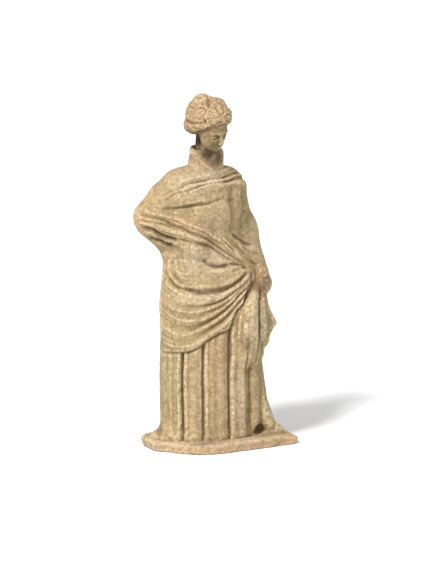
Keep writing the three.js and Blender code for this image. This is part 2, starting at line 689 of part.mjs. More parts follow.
// The plaque: a slab cut by hand round her skirt, with five unequal sides and uneven, worn edges.
const EDGE_PIECE = 3.4; // the longest straight piece of its outline
const EDGE_BOW = 0.5; // how far the middle of each side stands out
const PLAQUE_HALF_WIDTH = SKIRT_HALF_WIDTH * SCALE + SIDE_MARGIN;
const PLAQUE_HALF_DEPTH = SKIRT_HALF_DEPTH * SCALE + (FRONT_MARGIN + BACK_MARGIN) / 2;
function plaqueOutline() {
  const [w, d] = [PLAQUE_HALF_WIDTH, PLAQUE_HALF_DEPTH];
  const corners = [
    [-0.56 * w, -d],
    [0.97 * w, -0.9 * d],
    [w, 0.96 * d],
    [-0.9 * w, 0.93 * d],
    [-w, -0.12 * d],
  ].map(([x, y]) => new THREE.Vector2(x, y));
  const cornerReach = 0.26 * d;
  const onEdge = (corner, other) => corner.clone().lerp(other, cornerReach / corner.distanceTo(other));
  return corners.flatMap((corner, i) => {
    const before = corners[(i + corners.length - 1) % corners.length];
    const after = corners[(i + 1) % corners.length];
    const [from, to, next] = [onEdge(corner, before), onEdge(corner, after), onEdge(after, corner)];
    const bend = new THREE.QuadraticBezierCurve(from, corner, to).getPoints(5);
    const pieces = Math.ceil(to.distanceTo(next) / EDGE_PIECE);
    const outwards = new THREE.Vector2(next.y - to.y, to.x - next.x).setLength(EDGE_BOW);
    const side = Array.from({ length: pieces - 1 }, (_, k) => {
      const share = (k + 1) / pieces;
      return to.clone().lerp(next, share).addScaledVector(outwards, sin(PI * share));
    });
    return [...bend, ...side];
  });
}
function plaqueGeometry() {
  const rounding = min(PLAQUE_ROUNDING, PLAQUE_THICKNESS / 3);
  const slab = new THREE.ExtrudeGeometry(new THREE.Shape(plaqueOutline()), {
    depth: PLAQUE_THICKNESS - 2 * rounding,
    bevelThickness: rounding,
    bevelSize: rounding,
    bevelOffset: -rounding,
    bevelSegments: 2,
    curveSegments: 1,
  });
  slab.translate(0, 0, rounding);
  const place = slab.getAttribute("position");
  for (let i = 0; i < place.count; i++) {
    const [x, y, z] = [place.getX(i), place.getY(i), place.getZ(i)];
    const uneven = 0.012 * sin(0.31 * x + 1) * cos(0.37 * y) + 0.004 * sin(0.9 * x - 0.7 * y);
    const edge = ramp(hypot(x / PLAQUE_HALF_WIDTH, y / PLAQUE_HALF_DEPTH), 0.75, 0.95);
    place.setXYZ(i, x * (1 + uneven * edge), y * (1 + 1.4 * uneven * edge), z);
  }
  return slab;
}

const clay = new THREE.MeshStandardMaterial({ color: 0xc9ad7c, roughness: 0.95, metalness: 0 });
const orangeClay = new THREE.MeshStandardMaterial({ color: 0xc99f76, roughness: 0.95, metalness: 0 });

const plaque = new THREE.Mesh(plaqueGeometry(), orangeClay);
plaque.name = "base_plaque";

const skirtMiddle = PLAQUE_HALF_DEPTH - BACK_MARGIN - SKIRT_HALF_DEPTH * SCALE;
const woman = new THREE.Mesh(womanGeometry(), clay);
woman.name = "draped_woman";
woman.scale.setScalar(SCALE);
woman.position.set(0, skirtMiddle - SKIRT_BACK * SCALE, PLAQUE_THICKNESS);

const group = new THREE.Group();
group.add(plaque, woman);
export default group;
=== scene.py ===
import math

import bmesh
import bpy
import numpy as np
from mathutils import Matrix, Vector, noise
from mathutils.bvhtree import BVHTree


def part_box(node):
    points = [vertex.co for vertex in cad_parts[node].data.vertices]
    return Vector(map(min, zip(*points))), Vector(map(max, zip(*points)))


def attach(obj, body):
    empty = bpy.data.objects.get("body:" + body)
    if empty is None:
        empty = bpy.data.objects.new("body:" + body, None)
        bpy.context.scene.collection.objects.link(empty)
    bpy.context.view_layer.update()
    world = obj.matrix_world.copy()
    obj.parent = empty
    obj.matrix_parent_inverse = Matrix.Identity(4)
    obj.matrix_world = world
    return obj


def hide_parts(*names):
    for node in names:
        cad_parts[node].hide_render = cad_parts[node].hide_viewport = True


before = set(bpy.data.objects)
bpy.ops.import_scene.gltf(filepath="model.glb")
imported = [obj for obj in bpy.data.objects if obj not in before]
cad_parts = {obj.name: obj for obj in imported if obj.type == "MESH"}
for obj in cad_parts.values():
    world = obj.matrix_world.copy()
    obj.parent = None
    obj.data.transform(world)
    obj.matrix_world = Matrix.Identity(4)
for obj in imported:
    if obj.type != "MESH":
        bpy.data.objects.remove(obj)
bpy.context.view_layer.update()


# Her bare form
# Under its folds the body is one shell of clay from a mould: a flat trunk and skirt, a bent right arm
# and a lowered left arm under the mantle, and a left leg set a little forward. Sizes are millimetres,
# from the plaque's top, with her front towards -Y and her left towards +X.
MM = 0.001
PLAQUE_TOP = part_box("base_plaque")[1].z
TRUNK = [  # height, middle x and y, half width and half depth
    [-4, -0.6, 3, 35.4, 19.6],
    [0, -0.8, 3, 34.8, 19.4],
    [12, -1.6, 3, 33.4, 18.9],
    [38, -4.2, 3, 31.4, 18.6],
    [57, -4.5, 3, 30.2, 18],
    [78, -4.5, 3, 29, 17.2],
    [92, -5.2, 3, 26.8, 16],
    [104, -7, 3, 24, 14.2],
    [114, -8, 3, 20.5, 12.6],
    [128, -8, 3, 20.5, 13],
    [139, -8, 3.4, 18.5, 11.5],
    [146, -8, 3.6, 13, 10],
    [152, -8, 3.8, 8, 8],
]
NAPE = 154
RIGHT_SHOULDER = (-22.5, 4.5, 140.5)
RIGHT_ELBOW = (-36.2, 12.5, 124)
RIGHT_HAND = (-20, -6, 112.5)
LEFT_SHOULDER = (5.5, 3.5, 139.5)
LEFT_ELBOW = (15.6, 6, 113)
LEFT_HAND = (25.6, 0, 82.5)
LEFT_HIP = (6, -1, 86)
LEFT_KNEE = (10.5, -7, 50)
LEFT_ANKLE = (16, -3, 2)
LIMBS = [  # from, to, how thick at both, and how far each melts into the rest
    (RIGHT_SHOULDER, LEFT_SHOULDER, 8, 8, 8),
    (LEFT_SHOULDER, LEFT_ELBOW, 8.5, 8, 6),
    (LEFT_ELBOW, LEFT_HAND, 8, 5.5, 6),
    (LEFT_HIP, LEFT_KNEE, 12, 9.5, 6),
    (LEFT_KNEE, LEFT_ANKLE, 9.5, 9, 6),
]
BREASTS = [(-15, -6, 129), (-0.5, -6, 128.5)]
BREAST_RADII = (7, 4.6, 7)
SLEEVE = [  # the cloth that bags above and below the bent arm
    ((-29.5, 8.5, 134), RIGHT_ELBOW, 9.2, 7.6),
    ((-31.5, 8, 116.5), (-26, 4, 108.5), 4, 5),
    ((-35.9, 13.4, 117.6), (-26.6, 8.5, 107.5), 4.5, 4.5),
]
SMEAR = ((-34.5, 9.4, 0), (5, 6.5, 4.4))  # of clay over the plaque, by her right foot
TINY = 1e-9
STRIDES = 70  # at most, along a ray
STRIDE = 0.8  # of the way that is surely free
TOUCH = 0.004


def mix(a, b, t):
    return a + (b - a) * t


def ramp(x, low, high):
    t = np.clip((x - low) / (high - low), 0, 1)
    return t * t * (3 - 2 * t)


def along(rows, at):
    """A smooth curve through rows of numbers, read at values of each row's first number."""
    rows = np.array(rows, float)
    keys, values = rows[:, 0], rows[:, 1:]
    slopes = np.empty_like(values)
    slopes[1:-1] = (values[2:] - values[:-2]) / (keys[2:] - keys[:-2])[:, None]
    slopes[0] = (values[1] - values[0]) / (keys[1] - keys[0])
    slopes[-1] = (values[-1] - values[-2]) / (keys[-1] - keys[-2])
    at = np.asarray(at, float)
    i = np.clip(np.searchsorted(keys, at, side="right") - 1, 0, len(keys) - 2)
    span = (keys[i + 1] - keys[i])[..., None]
    t = np.clip((at - keys[i])[..., None] / span, 0, 1)
    blend = t * t * (3 - 2 * t)
    bend = t * (1 - t) ** 2 * slopes[i] - t * t * (1 - t) * slopes[i + 1]
    return mix(values[i], values[i + 1], blend) + bend * span


def melt(a, b, reach):
    """Two distances joined as wet clay joins, over that reach."""
    h = np.maximum(reach - np.abs(a - b), 0) / reach
    return np.minimum(a, b) - h * h * reach / 4


def common(a, b, reach):
    return -melt(-a, -b, reach)


def limb(p, start, end, first, last):
    """Distance to a round limb from one joint to the next."""
    axis = np.subtract(end, start)
    offset = p - np.array(start, float)
    t = np.clip(offset @ axis / (axis @ axis), 0, 1)
    return np.linalg.norm(offset - t[:, None] * axis, axis=1) - mix(first, last, t)


def oval(offset, radii):
    """Distance to an oval, from offsets to its middle."""
    k0 = np.linalg.norm(offset / radii, axis=1)
    k1 = np.linalg.norm(offset / radii**2, axis=1)
    return k0 * (k0 - 1) / np.maximum(k1, TINY)


def egg(p, centre, radii):
    return oval(p - np.array(centre, float), np.array(radii, float))


def web(p, a, b, c, radius):
    """Distance to a flat web of cloth over three points."""
    a, b, c = (np.array(v, float) for v in (a, b, c))
    normal = np.cross(b - a, a - c)
    edges = [(a, b), (b, c), (c, a)]
    sides = [(p - start) @ np.cross(end - start, normal) >= 0 for start, end in edges]
    flat = np.abs((p - a) @ normal) / np.linalg.norm(normal) - radius
    rim = np.minimum.reduce([limb(p, start, end, radius, radius) for start, end in edges])
    over = np.logical_and.reduce(sides) | ~np.logical_or.reduce(sides)
    return np.where(over, flat, rim)


def bare(p):
    """Distance from points to the draped body before any fold is cut in it."""
    section = along(TRUNK, p[:, 2])
    d = oval(p[:, :2] - section[:, :2], section[:, 2:])
    d = common(d, p[:, 2] - NAPE, 3)
    for *joints, reach in LIMBS:
        d = melt(d, limb(p, *joints), reach)
    for middle in BREASTS:
        d = melt(d, egg(p, middle, BREAST_RADII), 6)
    arm = limb(p, RIGHT_SHOULDER, RIGHT_ELBOW, 9.6, 7.6)
    arm = melt(arm, limb(p, *SLEEVE[0]), 3)
    arm = melt(arm, limb(p, RIGHT_ELBOW, RIGHT_HAND, 7.6, 6.5), 4)
    arm = melt(arm, web(p, RIGHT_SHOULDER, RIGHT_ELBOW, RIGHT_HAND, 6), 4)
    for fold in SLEEVE[1:]:
        arm = melt(arm, limb(p, *fold), 4)
    return melt(melt(d, arm, 6), egg(p, *SMEAR), 5)


def facing(shape, p, step=0.25):
    """The way a shape faces at points on it."""
    slope = np.empty_like(p)
    for k in range(3):
        shift = np.zeros(3)
        shift[k] = step
        slope[:, k] = shape(p + shift) - shape(p - shift)
    return slope / np.linalg.norm(slope, axis=1)[:, None]


def meet(shape, start, aim, reach):
    """The outermost places of a shape on rays that are looked along from a distance."""
    far = np.full(len(start), float(reach))
    live = np.arange(len(start))
    for _ in range(STRIDES):
        gap = shape(start[live] + aim[live] * far[live, None])
        far[live] -= gap * STRIDE
        live = live[gap > TOUCH]
        if len(live) == 0:
            break
    return start + aim * far[:, None]


# The grid of her skin
# A place on the body is a turn in degrees, 0 in front and growing to her left, and a rise. Up to the
# shoulders the rise is a height, and above it a ray's steepness in degrees is added, as the rays fan
# out from the middle of the chest. The rings of the grid are close enough to hold a tool's mark.
RINGS = 276
SPOKES = 262
SOLE = -0.8
SHOULDER_RISE = 126
TOP_RISE = 214
RISE_SHARES = ([0, 0.14, 0.7, 1], [SOLE, 46, SHOULDER_RISE, TOP_RISE])  # closest over the mantle
BACK_SHARE = 0.45  # of the front's closeness of spokes, behind her
TO_BACK = (100, 125)  # degrees of turn over which they part
RAY_REACH = 62
PROBE_STEP = 2  # degrees between the turns that the skin is first felt at


def aimed(turn, lift):
    """The directions of turns and lifts in radians."""
    return np.column_stack([np.sin(turn) * np.cos(lift), -np.cos(turn) * np.cos(lift), np.sin(lift)])


def skin(turn, rise):
    level = np.minimum(rise, SHOULDER_RISE)
    lift = np.radians(np.maximum(rise - SHOULDER_RISE, 0))
    start = np.column_stack([along(TRUNK, level)[:, :2], level])
    return meet(bare, start, aimed(np.radians(turn), lift), RAY_REACH)


ring_rises = np.interp(np.arange(RINGS + 1) / RINGS, *RISE_SHARES)
probe_turns = np.linspace(-180, 180, 360 // PROBE_STEP + 1)
probe_places = [v.ravel() for v in np.meshgrid(probe_turns, ring_rises)]
probes = skin(*probe_places).reshape(RINGS + 1, -1, 3)


def even_turns(ring):
    """Turns that space a ring's spokes over the skin, half of them on each side of her front."""
    steps = np.linalg.norm(np.diff(ring, axis=0), axis=1) + 1e-6
    steps *= mix(1, BACK_SHARE, ramp(np.abs(probe_turns[1:] - PROBE_STEP / 2), *TO_BACK))
    run = np.concatenate([[0], np.cumsum(steps)])
    front = run[len(run) // 2]
    half = np.arange(SPOKES // 2) / (SPOKES // 2)
    goals = np.concatenate([half * front, front + half * (run[-1] - front)])
    return np.interp(goals, run, probe_turns)


turns = np.array([even_turns(ring) for ring in probes])
rises = np.repeat(ring_rises[:, None], SPOKES, axis=1)
turn, rise = turns.ravel(), rises.ravel()
flesh = skin(turn, rise)
outwards = facing(bare, flesh)
relief = np.zeros(len(flesh))


# Lines on the cloth
# The potter drew folds with a tool: a line goes through a few places [turn, rise] on the skin, and
# cloth is raised or cut by its distance from such lines.
TURN_WEIGHT = 0.45  # millimetres for a degree of turn, near enough for spacing a line's points
NEAR = 12
RIPPLES = 1.9  # fine creases from one fold's line to the next


def skin_at(at_turn, at_rise):
    """The place on the skin, read from the probes."""
    ring = np.interp(at_rise, ring_rises, np.arange(RINGS + 1))
    spoke = ((at_turn + 180) % 360) / PROBE_STEP
    j, k = np.minimum(ring.astype(int), RINGS - 1), spoke.astype(int)
    t, s = (ring - j)[:, None], (spoke - k)[:, None]
    low = mix(probes[j, k], probes[j, k + 1], s)
    high = mix(probes[j + 1, k], probes[j + 1, k + 1], s)
    return mix(low, high, t)


def drawn(places, onto=skin_at, weights=(TURN_WEIGHT, 1)):
    """The points of a line, about a millimetre apart."""
    places = np.array(places, float)
    steps = np.linalg.norm(np.diff(places, axis=0) * weights, axis=1)
    run = np.concatenate([[0], np.cumsum(steps)])
    count = max(int(run[-1]), 6)
    line = along(np.column_stack([run, places]), np.linspace(0, run[-1], count + 1))
    return onto(line[:, 0], line[:, 1])


def from_line(points, cloth, near=NEAR):
    """How far each point of the cloth is from a line, and beside which share of it."""
    gap = np.full(len(cloth), np.inf)
    share = np.zeros(len(cloth))
    for first in range(0, len(points) - 1, 8):
        piece = points[first : first + 9]
        inside = (cloth > piece.min(0) - near) & (cloth < piece.max(0) + near)
        who = np.flatnonzero(inside.all(1))
        for i in range(len(piece) - 1):
            edge = piece[i + 1] - piece[i]
            offset = cloth[who] - piece[i]
            t = np.clip(offset @ edge / (edge @ edge + 1e-12), 0, 1)
            away = np.linalg.norm(offset - t[:, None] * edge, axis=1)
            closer = away < gap[who]
            gap[who[closer]] = away[closer]
            share[who[closer]] = (first + i + t[closer]) / (len(points) - 1)
    return gap, share


def spread(values, share):
    """A value for each share of a line, from a few that are spread evenly along it."""
    values = np.atleast_1d(values)
    return np.interp(share, np.linspace(0, 1, len(values)), values)


def swing(t, low_slope, high_slope):
    """0 to 1, leaving and reaching its ends at those slopes: 0 is rounded, above 1 is sharp."""
    return t * (1 - t) ** 2 * low_slope + t * t * (3 - 2 * t) - t * t * (1 - t) * high_slope


def beside(turn_values, middle):
    """The same turns, counted within half a round of a middle one."""
    return turn_values - 360 * np.round((turn_values - middle) / 360)


def ripples(level):
    """Fine creases side by side between the folds' lines, some closer than others."""
    return np.sin(2 * math.pi * (RIPPLES * level + 0.3 * np.sin(2.1 * level + 1)))


def drape(lines, start, end, fade, creases, valley=0.3, crest=1.5, soft=2.2):
    """Folds between crests and valleys, listed from the top down as (heights, places)."""
    at = beside(turn, (start + end) / 2)
    hold = ramp(at, start - fade, start) * (1 - ramp(at, end, end + fade))
    gaps, heights, below = [], [], np.zeros(len(flesh), int)
    for height, places in lines:
        gap, share = from_line(drawn(places), flesh)
        gaps.append(gap)
        heights.append(spread(height, share))
        below += rise < along(places, at)[:, 0]
    gaps, heights = np.minimum(gaps, 3 * NEAR), np.array(heights)
    rows = np.arange(len(flesh))
    upper, lower = np.clip(below - 1, 0, None), np.clip(below, None, len(lines) - 1)
    t = gaps[upper, rows] / (gaps[upper, rows] + gaps[lower, rows] + 1e-9)
    from_height, to_height = heights[upper, rows], heights[lower, rows]
    rising = to_height > from_height
    up = swing(t, np.where(rising, valley, crest), np.where(rising, crest, valley))
    room = gaps[upper, rows] + gaps[lower, rows]
    height = mix(from_height, to_height, up) + creases * ripples(upper + t) * ramp(room, 1.5, 4)
    outside = (below == 0) | (below == len(lines))
    height = np.where(outside, from_height * np.exp(-((gaps[upper, rows] / soft) ** 2)), height)
    return height * hold


def marked(height, width, points, cloth, run_out=4):
    """One ridge, or a groove where the height is negative, that runs out at its ends."""
    gap, share = from_line(points, cloth, 3 * width)
    ends = min(run_out / (len(points) - 1), 0.5)
    hold = ramp(share, 0, ends) * (1 - ramp(share, 1 - ends, 1))
    return spread(height, share) * hold * np.exp(-((gap / width) ** 2))


# The mantle's folds
# Thin woollen cloth drawn tight over the chest from the right elbow to the left shoulder, rolled round
# the waist, and hung in loops over the hips from her right side to the left hand. Each line gives how
# high the cloth stands from one end of it to the other, and the places it goes through.
CHEST = [
    ([0, 0.3, 1.0, 1.4, 1.4, 0.3], [
        [-88, 143], [-79, 152.6], [-72, 164], [-66, 173.9], [-60, 180.6], [-41, 189.9], [-8, 194.1],
        [39, 192.5], [69, 187], [90, 178],
    ]),
    ([0, -0.1, -0.4, -0.7, -1.0, -0.8], [
        [-88, 140], [-77, 151.1], [-66, 166], [-60, 174.4], [-40, 184.5], [-9, 190.7], [28, 188.9],
        [56, 182.1], [75, 175.3], [95, 166],
    ]),
    ([0, 0.2, 0.9, 1.2, 1.3, 0.2], [
        [-86, 137.5], [-72, 152], [-63, 164], [-56, 171.5], [-39, 181.4], [-10, 188], [26, 186.9],
        [55, 180], [74, 172.1], [95, 162],
    ]),
    ([0, 0, -0.4, -0.5, -0.9, -0.8], [
        [-91, 131.1], [-83, 136], [-70, 150.5], [-60, 162.5], [-53, 169.5], [-39, 179.5], [-11, 186],
        [24, 184.8], [52, 177.6], [75, 168.5], [95, 158],
    ]),
    ([0, 0.1, 0.7, 1.1, 1.1, 0.2], [
        [-90, 128.5], [-79, 138], [-68, 149], [-58, 161.5], [-50, 169], [-39, 177.5], [-11, 184],
        [23, 182.5], [48, 175.2], [66, 165.7], [90, 152],
    ]),
]
WAIST = [
    ([0.2, 0.8, 1.2, 1.4, 1.2, 0.9], [
        [-98, 131], [-93, 129.5], [-84, 127.5], [-78, 126], [-67, 124.9], [-52, 122.5], [-36, 119.7],
        [-14, 115.2], [13, 111.3], [24, 108.5], [38, 103.6], [49, 100.2], [60, 97],
    ]),
    ([-0.9, -1.1, -0.9, -1.1, -1.0, -0.2], [
        [-98, 127.5], [-87, 125], [-78, 122.5], [-70, 121.1], [-61, 120.4], [-51, 118.4], [-35, 116.2],
        [-16, 111.9], [8, 107.4], [30, 102.9], [45, 98.6], [60, 96.2],
    ]),
    ([0.3, 0.9, 1.2, 0.7, -0.3, -0.4], [
        [-98, 122], [-87, 121.1], [-75, 119.7], [-65, 118.6], [-50, 116.7], [-40, 115], [-27, 113],
        [-3, 108.1], [19, 103.7], [34, 100.8], [46, 97.9], [60, 95.6],
    ]),
    ([-1.0, -1.8, -1.8, -1.4, -1.2, -0.5], [
        [-104, 119.5], [-96, 118.3], [-88, 116.9], [-77, 115.1], [-64, 114.4], [-49, 113.9], [-35, 112.6],
        [-16, 110], [8, 105.4], [28, 101], [36, 99.5], [46, 97.4], [60, 95],
    ]),
]
LOOPS = [
    ([-0.8, -0.9, -0.3, 0, 0, 0], [
        [-104, 105], [-88, 107.5], [-74, 109.7], [-64, 112], [-49, 113.4], [-35, 112.5], [-16, 110],
        [8, 105.4], [28, 101], [36, 99.5], [46, 97.4], [60, 95],
    ]),
    ([0, 0.5, 0.6, 0.5, 0.2], [
        [-104, 104.6], [-88, 104.5], [-78, 106], [-64, 108.5], [-49, 109], [-16, 106.5], [0, 103.5],
        [20, 100.3], [36, 98.9], [46, 97.1], [60, 94.7],
    ]),
    ([0, 0.1, 0.1, -0.8, -1.1, -0.9], [
        [-104, 104], [-88, 103.2], [-70, 101], [-50, 99.5], [-26, 98.8], [-1, 98], [15, 98], [25, 98.6],
        [33, 98.2], [46, 96.6], [60, 94.4],
    ]),
    ([0, 0.2, 0.4, 0.8, 0.9], [
        [-104, 103], [-88, 102.4], [-70, 98.5], [-49, 97], [-28, 96], [-3, 95.2], [16, 95.7], [33, 96.6],
        [46, 96], [60, 94],
    ]),
    ([0, 0.2, 0, -0.3, -0.3], [
        [-104, 102], [-88, 101.7], [-70, 95], [-49, 93.5], [-28, 92.8], [-3, 92.6], [16, 94.2], [33, 95.3],
        [46, 95.3], [60, 93.6],
    ]),
    ([0, 0.2, 0.2, 0.7, 0.6], [
        [-104, 101], [-88, 101.1], [-78, 95.5], [-70, 91.5], [-60, 90.3], [-26, 90.4], [-6, 90.8],
        [17, 92.9], [33, 94.2], [46, 94.8], [60, 93.3],
    ]),
    ([0, 1.0, 1.3, 1.3, 1.0], [
        [-104, 100], [-88, 100.5], [-82, 95.3], [-76, 91.7], [-69, 88.8], [-63, 87.6], [-43, 87.5],
        [-27, 87.5], [-7, 87.8], [14, 88.9], [35, 92], [46, 93.8], [60, 92.9],
    ]),
    ([0, -0.9, -1.4, -1.3, -1.0], [
        [-104, 98], [-88, 97], [-81, 91.4], [-71, 87.9], [-62, 86.1], [-57, 85.6], [-43, 84.5], [-27, 84.5],
        [-8, 85.2], [13, 86.6], [32, 90], [46, 92.6], [60, 92.3],
    ]),
    ([0, 0.9, 1.1, 1.1, 0.9], [
        [-104, 93], [-86, 89.9], [-76, 86.4], [-69, 84.8], [-57, 82.6], [-43, 81.6], [-28, 81.6],
        [-9, 82.2], [12, 84.8], [31, 87.8], [46, 91.2], [60, 91.7],
    ]),
    ([0, 0.8, 0.9, 0.8, 0.9], [
        [-104, 86], [-87, 83.5], [-78, 81.4], [-68, 79.8], [-56, 78.6], [-43, 78.5], [-28, 79.1],
        [-9, 80.5], [12, 83.3], [31, 86.8], [46, 90], [60, 91],
    ]),
    ([0, -0.2, -0.9, -1.0, -0.6], [
        [-104, 83], [-90, 81], [-75, 77.6], [-68, 76.6], [-50, 76.3], [-36, 77.1], [-28, 77.6], [-9, 79],
        [12, 81.9], [27, 85.4], [46, 89.2], [60, 90.5],
    ]),
    ([0, 0.5, 0.8, 0.7, 0.5], [
        [-104, 81], [-90, 79], [-80, 77], [-72, 74.9], [-64, 74.2], [-56, 73.6], [-43, 74.2], [-28, 75.5],
        [-9, 77.3], [11, 80.6], [26, 84.4], [46, 88.4], [60, 90],
    ]),
    ([0, -0.4, -0.8, -0.5, -0.1], [
        [-104, 79], [-90, 76.5], [-73, 73], [-64, 71.6], [-56, 70.9], [-43, 71.6], [-36, 72.7], [-25, 74.1],
        [-9, 75.7], [11, 79.3], [26, 83.6], [46, 87.8], [60, 89.6],
    ]),
    ([0, 0.7, 1.0, 1.0, 0.8], [
        [-104, 77], [-89, 74], [-77, 70.7], [-67, 68.8], [-56, 68.6], [-43, 69.2], [-28, 70.8], [-10, 73.8],
        [11, 77.8], [26, 82.6], [46, 87], [60, 89],
    ]),
    ([0, -0.9, -1.5, -1.3, -1.1], [
        [-104, 71], [-87, 67.9], [-71, 65], [-63, 63.7], [-56, 63.8], [-50, 64.6], [-36, 67], [-28, 68.6],
        [-10, 72], [1, 74], [11, 76.3], [20, 79], [29, 82.3], [46, 86.2], [60, 88.5],
    ]),
    ([0, 0.8, 1.2, 1.1, 1.0], [
        [-104, 69], [-89, 65.8], [-78, 63], [-67, 60.9], [-56, 61.4], [-43, 64], [-28, 66.6], [-10, 69.7],
        [10, 74.3], [25, 79.2], [46, 85.2], [60, 88],
    ]),
    ([0, -0.3, -1.0, -1.0, -0.9], [
        [-104, 65], [-85, 60.5], [-67, 58.3], [-51, 59.2], [-43, 60.9], [-28, 64.1], [-10, 67.3], [0, 69.3],
        [14, 73.2], [28, 78.4], [46, 84.2], [60, 87.5],
    ]),
    ([0.3, 0.9, 1.1, 1.1, 1.0], [
        [-104, 60], [-86, 56.5], [-75, 55], [-64, 54.8], [-53, 55.6], [-43, 57.6], [-28, 61.4], [-10, 64.6],
        [10, 69], [27, 76.2], [39, 80.8], [46, 83], [60, 87],
    ]),
]
BACK_FALL = [(100, 0), (130, 0.4), (165, 0.8), (200, 1), (244, 1.05)]  # turns, and shares of a line's drop
BACK = [
    (heights, [[at_turn, top - share * drop] for at_turn, share in BACK_FALL])
    for heights, top, drop in [
        ([0, 0, 0], 176, 50),
        ([-0.5, -0.9, -0.5], 168, 46),
        ([0.4, 0.7, 0.4], 158, 42),
        ([-0.5, -0.9, -0.5], 146, 40),
        ([0.4, 0.8, 0.4], 138, 38),
        ([-0.5, -0.8, -0.4], 128, 34),
        ([0.4, 0.6, 0.4], 118, 32),
        ([-0.4, -0.7, -0.4], 106, 28),
        ([0.3, 0.6, 0.3], 96, 25),
        ([-0.3, -0.6, -0.3], 84, 20),
        ([0, 0, 0], 74, 16),
    ]
]
